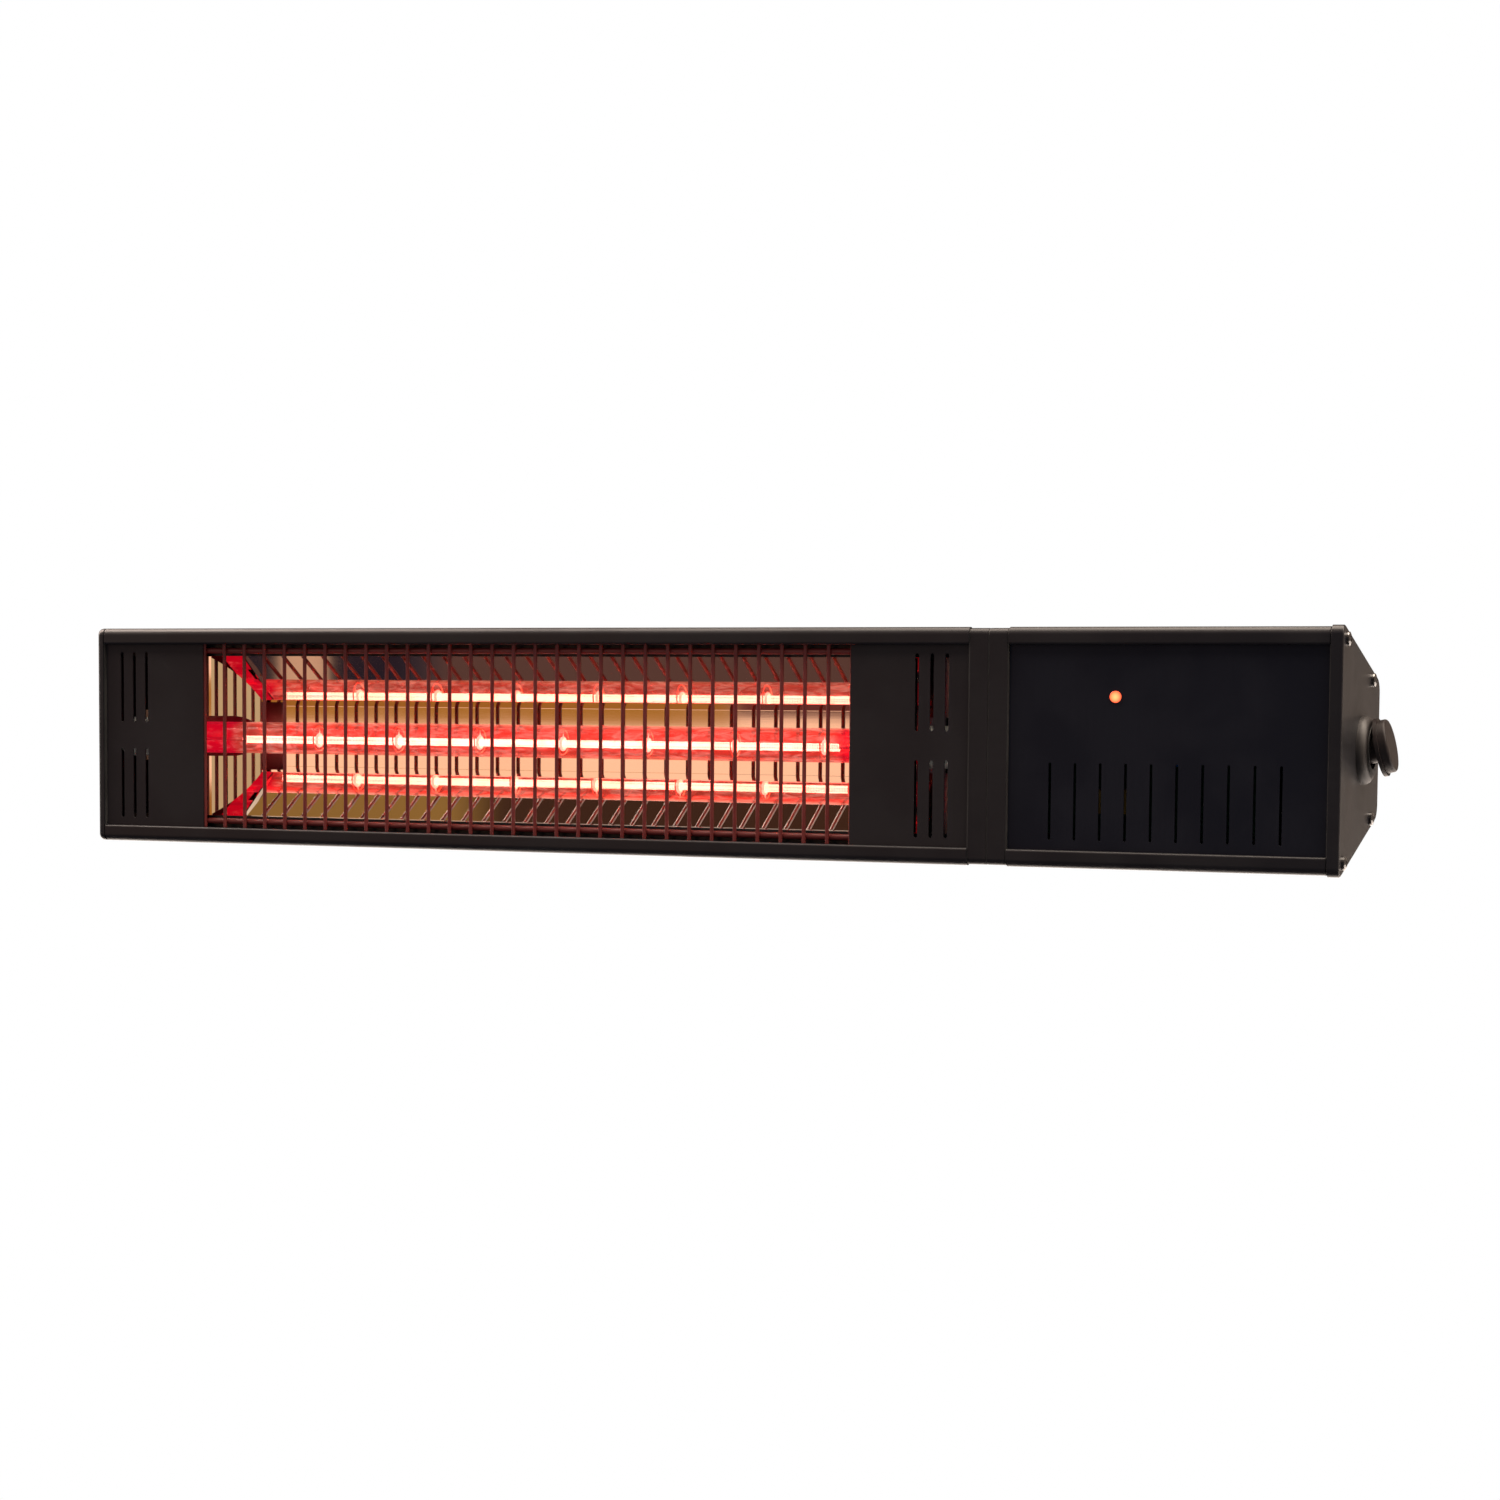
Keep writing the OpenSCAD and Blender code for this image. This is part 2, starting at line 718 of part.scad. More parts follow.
// Holes for the four bolts that join the two caps at the seam.
joins = [for (p = [[20, join_front_in], [62, join_back_in]], s = [-1, 1])
    [p[0], s * (flank_at(p[0]) - p[1])]];

module inner_cap(x0, head_side) {
    sink = 2.4;
    difference() {
        along_x(x0, inner_cap_t) difference() {
            body_outline(-seam_dip);
            boss_holes(thread_r + fit);
            for (p = joins) translate(p) circle(r = join_r + fit);
            translate([pass_d, 0]) circle(r = pass_r);
        }
        along_x(head_side > 0 ? x0 + inner_cap_t - sink : x0 - 1, sink + 1)
            boss_holes(screw_head_r + 0.2);
    }
}

module heater_inner_cap() {
    color(black) inner_cap(heater_x1 + gasket_t, 1);
}

module flat_gasket(x) {
    gasket_w = 6.5;
    far = body_d - gasket_w;
    along_x(x, gasket_t) difference() {
        body_outline(-gasket_inset);
        difference() {
            polygon([for (p = [[gasket_w, 1], [far, 1], [far, -1], [gasket_w, -1]])
                [p[0], p[1] * (flank_at(p[0]) - gasket_w - gasket_inset)]]);
            for (p = bosses) translate(p) circle(r = boss_r + 1.5);
        }
        boss_holes(thread_r + fit);
    }
}

module heater_gaskets() {
    color(rubber) {
        flat_gasket(heater_x0 - gasket_t);
        flat_gasket(heater_x1);
    }
}

module left_cover_plate() {
    color(dark)
        front_sheet(heater_x0, window_x0, 0, 4) cover_slots(heater_x0 + slot_left);
}

module right_cover_plate() {
    color(dark)
        front_sheet(window_x1, heater_x1, 4, 0)
            cover_slots(heater_x1 - slot_right - 2 * slot_pitch);
}

module guard_wires() {
    wire_z = rod_z + rod_r + 3.4;
    color(dark)
        for (i = [0 : wire_n - 1])
            translate([window_x0 + i * window_l / (wire_n - 1), front_y + wire_d, -wire_z])
                cylinder(r = wire_r, h = 2 * wire_z);
}

module guard_rods() {
    color(dark)
        for (s = [-1, 1])
            bar_x(window_x0 - 2, rod_d, s * rod_z, rod_r, window_l + 4);
}

// ---- reflector ----

end_flange_d = wire_d + wire_r + 0.1;
end_x = window_x0 + end_in;
end_run = (end_d - end_flange_d) / tan(end_deg);

module half_trough() {
    lip_h = 4.2;
    difference() {
        along_x(refl_x0, refl_xm - refl_x0) {
            difference() {
                trough_outline(refl_t, flange_d);
                trough_outline(0, flange_d - 1);
            }
            for (s = [-1, 1])
                translate([flange_d, s > 0 ? refl_z : -refl_z - refl_t - lip_h])
                    square([refl_t, refl_t + lip_h]);
        }
        block([refl_x0 - 1, end_d, -notch_h], [window_x0 + notch_l, refl_d + 2, notch_h]);
    }
}

// Copies a left-hand shape to the reflector's other end.
module other_end() {
    translate([2 * refl_xm, 0, 0]) mirror([1, 0, 0]) children();
}

module reflector_trough() {
    color(mirror_gold) {
        half_trough();
        other_end() half_trough();
    }
}

module reflector_end() {
    flange_l = 15;
    t_x = refl_t / sin(end_deg);
    // The curved side runs from the root to the tip, in depth and height, inside the flange.
    root = [end_flange_d, refl_z - 3 * clear];
    tip = [end_d, end_z];
    chord = tip - root;
    arc_c = (root + tip) / 2
        + sqrt(end_side_r * end_side_r - chord * chord / 4) * [chord[1], -chord[0]] / norm(chord);
    difference() {
        union() {
            intersection() {
                translate([0, front_y, -body_h]) linear_extrude(2 * body_h)
                    polygon([[end_x, end_flange_d], [end_x + end_run, end_d],
                        [end_x + end_run - t_x, end_d], [end_x - t_x, end_flange_d]]);
                bar_x(end_x - 20, arc_c[0], arc_c[1], end_side_r, 80);
                bar_x(end_x - 20, arc_c[0], -arc_c[1], end_side_r, 80);
            }
            on_front(end_flange_d, refl_t)
                translate([end_x - flange_l, -refl_z + clear])
                    square([flange_l, 2 * (refl_z - clear)]);
            for (z = [-24, 24])
                bar_y(end_x - flange_l + 4, wall + sheet_t, z, 2.5,
                    end_flange_d - wall - sheet_t + refl_t / 2);
        }
        on_front(wall, body_d / 2) {
            translate([end_x - flange_l + 9, -lamp_slot_h / 2])
                square([end_run + flange_l - 9 - lamp_slot_h / 2, lamp_slot_h]);
            translate([end_x + end_run - lamp_slot_h / 2, 0]) circle(r = lamp_slot_h / 2);
        }
    }
}

module reflector_end_left() {
    color(mirror_gold) reflector_end();
}

module reflector_end_right() {
    color(mirror_gold) other_end() reflector_end();
}

module heat_shield() {
    inset = 12;
    shield_z = inner_at(shield_ledge_d) - 0.5;
    color(steel)
        block([heater_x0 + inset, shield_d, -shield_z],
            [heater_x1 - inset, shield_d + shield_t, shield_z]);
}

// ---- lamp ----

tube_x0 = window_x0 - tube_over;
tube_l = window_l + 2 * tube_over;
coil_x0 = window_x0 + coil_in;
coil_x1 = window_x1 - coil_end_in;
lamp_z = -lamp_drop;
coil_z = lamp_z - coil_sag;

module lamp_tube() {
    color(ruby, 0.6) difference() {
        bar_x(tube_x0, lamp_d, lamp_z, tube_r, tube_l);
        bar_x(tube_x0 + tube_t, lamp_d, lamp_z, tube_r - tube_t, tube_l - 2 * tube_t);
    }
}

module lamp_filament() {
    color("orange") bar_x(coil_x0, lamp_d, coil_z, coil_r, coil_x1 - coil_x0);
}

module filament_supports() {
    support_t = 0.8;
    opening_r = 1.2;
    x_last = coil_x1 - support_in;
    color(steel)
        for (i = [0 : support_n - 1])
            translate([-i * support_pitch, 0, 0]) difference() {
                bar_x(x_last, lamp_d, lamp_z, tube_r - tube_t - fit, support_t);
                bar_x(x_last - 1, lamp_d, coil_z, coil_r + fit, support_t + 2);
                for (a = [0 : 120 : 359])
                    translate([x_last - 1, front_y + lamp_d, lamp_z])
                        rotate([a, 0, 0]) translate([0, coil_r + 2.5, 0]) rotate([0, 90, 0])
                            cylinder(r = opening_r, h = support_t + 2);
            }
}

// The molybdenum rods that join the coil to the seals, inside the tube, and the flat seals.
module lamp_pinches() {
    color([0.8, 0.8, 0.82])
        for (s = [0, 1])
            translate([s * 2 * window_xm, 0, 0]) mirror([s, 0, 0]) {
                bar_x(tube_x0 + tube_t, lamp_d, coil_z, 0.8,
                    tube_over - tube_t + (s > 0 ? coil_end_in : coil_in));
                block([tube_x0 - pinch_l, lamp_d - pinch_t / 2, lamp_z - pinch_w / 2],
                    [tube_x0, lamp_d + pinch_t / 2, lamp_z + pinch_w / 2]);
            }
}

base_x0 = tube_x0 - base_l + 3;

module lamp_bases() {
    seal_d = pinch_t / 2 + 0.1;
    seal_z = pinch_w / 2 + 0.1;
    color("ivory")
        for (s = [0, 1])
            translate([s * 2 * window_xm, 0, 0]) mirror([s, 0, 0])
                difference() {
                    bar_x(base_x0, lamp_d, lamp_z, base_r, base_l);
                    bar_x(tube_x0, lamp_d, lamp_z, tube_r + fit, base_l);
                    block([tube_x0 - pinch_l - 1, lamp_d - seal_d, lamp_z - seal_z],
                        [tube_x0 + 1, lamp_d + seal_d, lamp_z + seal_z]);
                }
}

module lamp_holders() {
    holder_z = inner_at(ledge_d) - 0.6;
    strip_t = 1.4;
    saddle_z = base_r + 3;
    color(steel)
        for (s = [0, 1])
            translate([s * 2 * window_xm, 0, 0]) mirror([s, 0, 0])
                difference() {
                    union() {
                        block([base_x0 + base_l - holder_w, ledge_d - strip_t, -holder_z],
                            [base_x0 + base_l, ledge_d, holder_z]);
                        block([base_x0 + base_l - holder_w, lamp_d + 1, -saddle_z],
                            [base_x0 + base_l, ledge_d - eps, saddle_z]);
                    }
                    bar_x(base_x0 - 1, lamp_d, lamp_z, base_r + fit, base_l + 2);
                }
}

lead_r = 1.4;
lead_z = 3.5;
block_x = control_x0 + 10;

module lamp_leads() {
    exit_x = base_x0 + 3.5;
    exit_d = lamp_d + base_r;
    mount_d = ledge_d + 14;
    color("white") {
        wire_along([[exit_x, exit_d, lead_z], [exit_x, pass_d, lead_z],
            [block_x, pass_d, lead_z], [block_x, mount_d, lead_z]], lead_r);
        wire_along([[2 * window_xm - exit_x, exit_d, -lead_z], [2 * window_xm - exit_x, pass_d, -lead_z],
            [block_x, pass_d, -lead_z], [block_x, mount_d, -lead_z]], lead_r);
    }
}

// ---- control box ----

module control_housing() {
    color(black) difference() {
        extrusion(control_x0, control_l);
        bar_y(control_x1 - gland_x, body_d - wall - 1, 0, gland_thread_r + 0.1, wall + 2);
        for (p = board_spots) bar_y(p[0], ledge_d - 1, p[1], board_screw_r + fit, ledge_t + 2);
    }
}

module control_inner_cap() {
    color(black) inner_cap(control_cap_x, -1);
}

module control_gaskets() {
    color(rubber) {
        flat_gasket(control_x0 - gasket_t);
        flat_gasket(control_x1);
    }
}

module seam_gasket() {
    color(rubber)
        along_x(seam_x0, gasket_t) difference() {
            body_outline(-gasket_inset);
            boss_holes(screw_head_r + 0.4);
            for (p = joins) translate(p) circle(r = join_r + fit);
            translate([pass_d, 0]) circle(r = pass_r);
        }
}

// Countersunk heads of the caps at the seam: four for each housing.
module seam_screws() {
    seam_head_h = 2.2;
    reach = inner_cap_t + screw_reach - seam_head_h;
    color(steel)
        for (p = bosses, s = [0, 1])
            translate([seam_x0 + gasket_t / 2, front_y + p[0], p[1]]) mirror([s, 0, 0]) {
                translate([-gasket_t / 2 - seam_head_h, 0, 0]) rotate([0, 90, 0])
                    cylinder(r = screw_head_r, h = seam_head_h - 0.1);
                translate([-gasket_t / 2 - seam_head_h - reach, 0, 0]) rotate([0, 90, 0])
                    cylinder(r = thread_r - fit, h = reach + eps);
            }
}

join_l = 2 * inner_cap_t + gasket_t;

module joining_bolts() {
    color(steel)
        for (p = joins) {
            hex_x(seam_x0 - inner_cap_t - 2.8, front_y + p[0], p[1], join_af, 2.8);
            bar_x(seam_x0 - inner_cap_t - eps, p[0], p[1], join_r, join_l + 5);
        }
}

module joining_nuts() {
    color(steel)
        for (p = joins)
            difference() {
                hex_x(seam_x0 + gasket_t + inner_cap_t, front_y + p[0], p[1], join_af, 3.2);
                bar_x(seam_x0, p[0], p[1], join_r + fit, 2 * join_l);
            }
}

module right_end_cap() {
    color(black)
        along_x(right_cap_x, right_cap_t)
            difference() {
                body_outline(cap_proud);
                boss_holes(thread_r + fit);
                translate([switch_d, 0]) circle(r = barrel_r + 0.1);
            }
}

module right_cap_screws() {
    color(steel) corner_screws(right_x, right_cap_t + screw_reach, 0);
}

module control_panel() {
    color(dark)
        front_sheet(control_x0, control_x1, 0, 0) {
            for (i = [0 : panel_slots - 1])
                slot_2d(control_x0 + panel_slot_x + i * panel_pitch,
                    -panel_slot_z - panel_slot_h, -panel_slot_z, panel_slot_w);
            translate([control_x0 + led_x, led_z]) circle(r = lens_r + 0.1);
        }
}

lens_d = wall - 0.6;
lens_l = 6;

module indicator_lens() {
    color("orangered") {
        bar_y(control_x0 + led_x, lens_d, led_z, lens_r, lens_l);
        bar_y(control_x0 + led_x, wall + sheet_t, led_z, lens_r + 1, 1);
    }
}

board_d = ledge_d - board_t;
board_x0 = control_x0 + 4;

module indicator_lamp() {
    lamp_l = 9;
    lamp_start = lens_d + lens_l + clear;
    color("red") {
        bar_y(control_x0 + led_x, lamp_start, led_z, 2.5, lamp_l);
        for (dx = [-1.27, 1.27])
            bar_y(control_x0 + led_x + dx, lamp_start + lamp_l - eps, led_z, 0.35,
                board_d - lamp_start - lamp_l + eps);
    }
}

board_z = inner_at(ledge_d) - 0.6;
board_spots = [for (x = [8, board_l - 8], s = [-1, 1]) [board_x0 + x, s * (board_z - 3.4)]];

module control_board() {
    color("darkgreen") difference() {
        block([board_x0, board_d, -board_z], [board_x0 + board_l, ledge_d, board_z]);
        for (p = board_spots) bar_y(p[0], board_d - 1, p[1], board_screw_r + fit, board_t + 2);
    }
}

// Screws that hook the board behind its ledges with a washer plate.
module board_screws() {
    head_r = 2.4;
    head_h = 1.6;
    tail = 5;
    color(steel)
        for (p = board_spots) {
            bar_y(p[0], board_d - head_h, p[1], head_r, head_h);
            bar_y(p[0], board_d - eps, p[1], board_screw_r, board_t + tail);
        }
}

module relay() {
    color("steelblue")
        block([board_x0 + 62, board_d - 15, -8], [board_x0 + 81, board_d, 8]);
}

module capacitor() {
    color("goldenrod")
        block([board_x0 + 30, board_d - 14, -30], [board_x0 + 56, board_d, -19]);
}

module terminal_block() {
    clamp_r = 1.6;
    color("darkgreen") difference() {
        block([block_x - 6, ledge_d, -10], [block_x + 6, ledge_d + 14, 10]);
        for (s = [-1, 1]) bar_y(block_x, ledge_d + 13, s * (lead_z + 3.4), clamp_r, 2);
    }
}

module heat_sink() {
    fins = 6;
    fin_t = 1.6;
    base_t = 3;
    sink_x = board_x0 + 34;
    pitch = (sink_l - fin_t) / (fins - 1);
    color(steel) {
        block([sink_x, ledge_d, -sink_h / 2], [sink_x + sink_l, ledge_d + base_t, sink_h / 2]);
        for (i = [0 : fins - 1])
            block([sink_x + i * pitch, ledge_d + base_t - eps, -sink_h / 2],
                [sink_x + i * pitch + fin_t, ledge_d + base_t + fin_d, sink_h / 2]);
    }
}

module earth_screw() {
    spot_x = control_x0 + 30;
    color("gold") {
        bar_y(spot_x, body_d - wall - 2.6, 0, 3.5, 2.6);
        bar_y(spot_x, body_d - wall - 9, 0, 1.8, 6.5);
    }
}

// ---- cable gland in the back of the control housing ----

gland_thread_r = 8;
gland_wall = 2.4;
gland_af = 19;
gland_out = 14;
gland_in = 8;
gland_flange = 4;

// Turned parts on the gland's axis: from depth d, by its outer and inner radius.
module gland_ring(d, r, bore, len) {
    difference() {
        bar_y(control_x1 - gland_x, d, 0, r, len);
        bar_y(control_x1 - gland_x, d - 1, 0, bore, len + 2);
    }
}

module gland_hex(d, bore, len) {
    difference() {
        translate([control_x1 - gland_x, front_y + d, 0]) rotate([-90, 0, 0])
            cylinder(r = gland_af / 2 / cos(30), h = len, $fn = 6);
        bar_y(control_x1 - gland_x, d - 1, 0, bore, len + 2);
    }
}

module gland_body() {
    color(black) {
        gland_ring(body_d - wall - gland_in, gland_thread_r, cable_r + 0.2,
            wall + gland_in + 1 + gland_flange + gland_out);
        gland_hex(body_d + 1, cable_r + 0.2, gland_flange);
    }
}

module gland_dome() {
    dome_d = body_d + 1 + gland_flange + 1;
    dome_r = gland_thread_r + gland_wall;
    x = control_x1 - gland_x;
    color(black) difference() {
        union() {
            bar_y(x, dome_d, 0, dome_r, gland_out - 4);
            translate([x, front_y + dome_d + gland_out - 4, 0]) rotate([-90, 0, 0])
                rotate_extrude() intersection() {
                    square([dome_r, 5]);
                    translate([dome_r - 5, 0]) union() {
                        circle(r = 5);
                        translate([5 - dome_r, 0]) square([dome_r - 5, 5]);
                    }
                }
        }
        bar_y(x, dome_d - 1, 0, gland_thread_r + fit, gland_out + 0.5);
        bar_y(x, dome_d, 0, cable_r + 0.4, gland_out + 10);
    }
}

module gland_seal() {
    color(rubber) gland_ring(body_d, gland_thread_r + 2.2, gland_thread_r + fit, 1);
}

module gland_nut() {
    color(steel) gland_hex(body_d - wall - 4, gland_thread_r + fit, 4);
}

// ---- switch ----

// Places children on the switch's axis, with +X out of the cap's face.
module at_switch() {
    translate([right_x, front_y + switch_d, 0]) children();
}

module disc(x, r, len) {
    translate([x, 0, 0]) rotate([0, 90, 0]) cylinder(r = r, h = len);
}

well_r = 10;
well_l = 5.5;

module switch_collar() {
    edge_r = 3.6;
    color(black) at_switch() difference() {
        union() {
            disc(-barrel_l, barrel_r, barrel_l + 1);
            rotate([0, 90, 0]) rotate_extrude() union() {
                square([collar_r, collar_h - edge_r]);
                square([collar_r - edge_r, collar_h]);
                translate([collar_r - edge_r, collar_h - edge_r]) circle(r = edge_r);
            }
        }
        disc(-20, collar_r + 1, 20 - barrel_l);
        disc(-well_l, well_r, well_l + collar_h + 1);
        translate([-barrel_l - 1, -collar_r - 1, -collar_r - 1])
            difference() {
                cube([barrel_l + 1, 2 * collar_r + 2, 2 * collar_r + 2]);
                translate([-1, collar_r + 1, collar_r + 1]) rotate([0, 90, 0])
                    cylinder(r = barrel_r, h = barrel_l + 3);
            }
        translate([rock_out, -collar_r + 2, 0]) rotate([-90, 0, 0])
            cylinder(r = rock_pin_r + 0.02, h = 2 * collar_r - 4);
    }
}

module switch_body() {
    color(rubber) at_switch()
        translate([-barrel_l - 14, -9, -10]) cube([14, 18, 20]);
}

module switch_nut() {
    color(rubber) at_switch() difference() {
        disc(-right_cap_t - 3.5, barrel_r + 3.4, 3.5);
        disc(-right_cap_t - 5, barrel_r + fit, 7);
    }
}

// The rubber ring that closes the well around the rocker's stem.
module switch_boot() {
    color(rubber) at_switch() difference() {
        union() {
            disc(0.5, well_r - fit, 3.9);
            disc(collar_h + fit, well_r + 1.6, 0.4);
            disc(4.3, well_r - fit, collar_h - 4.2 + fit);
        }
        disc(-1, 8.6, 8);
        translate([rock_out, -collar_r, 0]) rotate([-90, 0, 0])
            cylinder(r = rock_pin_r + 0.2, h = 2 * collar_r);
    }
}

module switch_pin() {
    color(steel) at_switch()
        translate([rock_out, -collar_r + 2.2, 0]) rotate([-90, 0, 0])
            cylinder(r = rock_pin_r, h = 2 * collar_r - 4.4);
}

module switch_terminals() {
    color("gold") at_switch()
        for (z = [-6.5, 0, 6.5])
            translate([-barrel_l - 22, -2.4, z - 0.4]) cube([8, 4.8, 0.8]);
}

module switch_leads() {
    terminal_x = right_x - barrel_l - 22;
    turn_x = board_x0 + board_l - 8;
    color("white")
        for (z = [-6.5, 6.5])
            wire_along([[terminal_x, switch_d, z], [turn_x, switch_d, z], [turn_x, ledge_d, z]], 1.2);
}

module switch_rocker() {
    stem_r = 6.5;
    lip_t = 1.6;
    round_r = 1.2;
    color(rubber) at_switch() translate([rock_out, 0, 0]) rotate([0, -rock_deg, 0])
        difference() {
            union() {
                disc(-4, stem_r, lip_h + 4);
                disc(lip_h - lip_t / 2, lip_r, lip_t);
                disc(lip_h, button_r, button_h - lip_h - round_r);
                rotate([0, 90, 0]) translate([0, 0, button_h - round_r]) rotate_extrude() {
                    square([button_r - round_r, round_r]);
                    translate([button_r - round_r, 0]) intersection() {
                        circle(r = round_r);
                        square(round_r);
                    }
                }
            }
            translate([0, -stem_r - 1, 0]) rotate([-90, 0, 0])
                cylinder(r = rock_pin_r + 0.05, h = 2 * stem_r + 2);
        }
}

wall_bracket();
tilt_bolts();
tilt_nuts();
body_bracket();
tilt_washers();
lock_bolts();
lock_knobs();
rail_bolts();
rail_nuts();
heater_housing();
left_end_cap();
left_cap_screws();
heater_inner_cap();
heater_gaskets();
left_cover_plate();
right_cover_plate();
guard_wires();
guard_rods();
reflector_trough();
reflector_end_left();
reflector_end_right();
heat_shield();
lamp_tube();
lamp_filament();
filament_supports();
lamp_pinches();
lamp_bases();
lamp_holders();
lamp_leads();
control_housing();
control_inner_cap();
control_gaskets();
seam_gasket();
seam_screws();
joining_bolts();
joining_nuts();
right_end_cap();
right_cap_screws();
control_panel();
indicator_lens();
indicator_lamp();
control_board();
board_screws();
relay();
capacitor();
terminal_block();
heat_sink();
earth_screw();
gland_body();
gland_dome();
gland_seal();
gland_nut();
switch_collar();
switch_body();
switch_nut();
switch_boot();
switch_pin();
switch_terminals();
switch_leads();
switch_rocker();
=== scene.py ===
# %% [markdown]
# # An infrared heater for the wall, dressed for the studio
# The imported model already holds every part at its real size. This lesson gives each part
# its finish, breaks the sharp edges as a workshop would, and winds the lamp's glowing coil.
# Lengths are in metres. X runs along the heater, Y into the wall and Z up.

import json
import math
from functools import partial

import bpy
from mathutils import Matrix, Vector


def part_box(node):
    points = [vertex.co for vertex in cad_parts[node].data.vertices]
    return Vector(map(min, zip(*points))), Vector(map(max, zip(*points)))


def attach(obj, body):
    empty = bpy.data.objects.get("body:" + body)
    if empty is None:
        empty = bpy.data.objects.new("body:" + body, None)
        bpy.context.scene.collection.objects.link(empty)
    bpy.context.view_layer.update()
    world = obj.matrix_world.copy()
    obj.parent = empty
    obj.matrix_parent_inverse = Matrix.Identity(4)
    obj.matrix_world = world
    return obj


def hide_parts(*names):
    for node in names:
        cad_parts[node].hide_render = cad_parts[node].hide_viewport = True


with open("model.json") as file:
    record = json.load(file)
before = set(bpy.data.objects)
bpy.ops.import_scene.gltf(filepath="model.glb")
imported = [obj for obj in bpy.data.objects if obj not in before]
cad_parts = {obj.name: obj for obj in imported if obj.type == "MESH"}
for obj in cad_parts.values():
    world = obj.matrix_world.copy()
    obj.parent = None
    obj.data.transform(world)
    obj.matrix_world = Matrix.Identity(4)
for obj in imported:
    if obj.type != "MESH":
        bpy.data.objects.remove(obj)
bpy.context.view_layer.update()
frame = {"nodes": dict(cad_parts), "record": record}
NODES = frame["nodes"]
MM = 0.001

# %% [markdown]
# ## The camera
# The heater is seen from its right, at the height of its own middle, through a long lens.
# The camera's three axes are worked out from where it looks, and then turned a little
# about the line of sight, because the heater hangs slightly askew in the frame. It also
# nods down a little while its lens is shifted up by as much, as on a view camera: the heater
# stays in the middle and its upright edges draw together towards the bottom.

# %% Set up the camera
EYE = Vector((0.5821, -1.4782, 0.0207))
AZIMUTH, TILT, ROLL = (math.radians(v) for v in (22.27, 0.96, 0.45))
LENS_MM = 71.74
DROP = math.radians(3.0)

look = Vector((
    -math.sin(AZIMUTH) * math.cos(TILT),
    math.cos(AZIMUTH) * math.cos(TILT),
    -math.sin(TILT),
))
right = look.cross(Vector((0, 0, 1))).normalized()
up = right.cross(look)
right, up = (
    right * math.cos(ROLL) + up * math.sin(ROLL),
    up * math.cos(ROLL) - right * math.sin(ROLL),
)
look, up = (
    look * math.cos(DROP) - up * math.sin(DROP),
    up * math.cos(DROP) + look * math.sin(DROP),
)
lens = bpy.data.cameras.new("camera")
lens.lens = LENS_MM
lens.sensor_width = 36.0
lens.shift_y = math.tan(DROP) * LENS_MM / lens.sensor_width
camera = bpy.data.objects.new("camera", lens)
camera.matrix_world = Matrix.Translation(EYE) @ Matrix((right, up, -look)).transposed().to_4x4()
bpy.context.scene.collection.objects.link(camera)
bpy.context.scene.camera = camera
print("camera looks along", [round(v, 3) for v in look])

# %% [markdown]
# ## Small helpers for the mesh work
# An operator acts on everything that is selected, so each step starts by selecting one
# piece alone. The helpers below keep that habit in one place.

# %% Selecting and editing
def pick_none():
    for other in bpy.context.selected_objects:
        other.select_set(False)


def pick(piece):
    """Makes the piece the only selected object, and the active one."""
    pick_none()
    piece.select_set(True)
    bpy.context.view_layer.objects.active = piece


def open_mesh(piece, select="SELECT"):
    """Starts editing the piece with its whole mesh selected, or none of it."""
    pick(piece)
    bpy.ops.object.mode_set(mode="EDIT")
    bpy.ops.mesh.select_all(action=select)


def close_mesh():
    bpy.ops.object.mode_set(mode="OBJECT")


def apply_modifiers(piece):
    pick(piece)
    for modifier in list(piece.modifiers):
        bpy.ops.object.modifier_apply(modifier=modifier.name)


def set_down(piece):
    """Moves the object's place into its mesh, as a CAD part has it."""
    pick(piece)
    bpy.ops.object.transform_apply(location=True, rotation=True, scale=True)


def smooth(piece, degrees):
    """Shades the piece smooth, with creases where faces meet at more than these degrees."""
    pick(piece)
    bpy.ops.object.shade_smooth_by_angle(angle=math.radians(degrees))


pick(NODES["heater_housing"])
print("selected", [o.name for o in bpy.context.selected_objects])

# %% [markdown]
# A new piece belongs to a body of the model and to a slot of its list of materials. Both
# are looked up from the CAD part that it stands for or sits on.

# %% Placing a piece on the model
BODY_OF = {n: body for body, names in frame["record"]["behaviour"]["bodies"].items() for n in names}
SLOT_OF = {s["node"]: s["material_slot"] for s in frame["record"]["subparts"]}
new_pieces = {}


def belongs(piece, node, slot=None, instead=True):
    """The piece rides with the node's body, and stands for the node when instead is True."""
    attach(piece, BODY_OF[node])
    if instead:
        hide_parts(node)
    new_pieces[piece.name] = slot or SLOT_OF[node]
    return piece


# %% [markdown]
# ## Breaking the edges
# Every sheet, casting and moulding has edges that were broken by a tumbler or a mould. They
# catch a thin line of light, and without it metal looks like cardboard. A CAD part is a set
# of loose triangles, so a copy of it is welded into one skin and its flats are joined. The
# stored shading directions are cleared first, or they would bend the flats. A Bevel modifier
# rounds the edges, and weighted normals keep the flats flat beside them.

# %% Soften the edges of a CAD part
WELD_WITHIN = 0.002 * MM
FLAT_WITHIN = math.radians(0.4)


def welded(node):
    """A copy of the CAD part as one skin, with its flats joined."""
    piece = bpy.data.objects.new("soft_" + node, NODES[node].data.copy())
    bpy.context.scene.collection.objects.link(piece)
    pick(piece)
    bpy.ops.mesh.customdata_custom_splitnormals_clear()
    open_mesh(piece)
    bpy.ops.mesh.remove_doubles(threshold=WELD_WITHIN)
    bpy.ops.mesh.dissolve_limited(angle_limit=FLAT_WITHIN)
    close_mesh()
    return piece


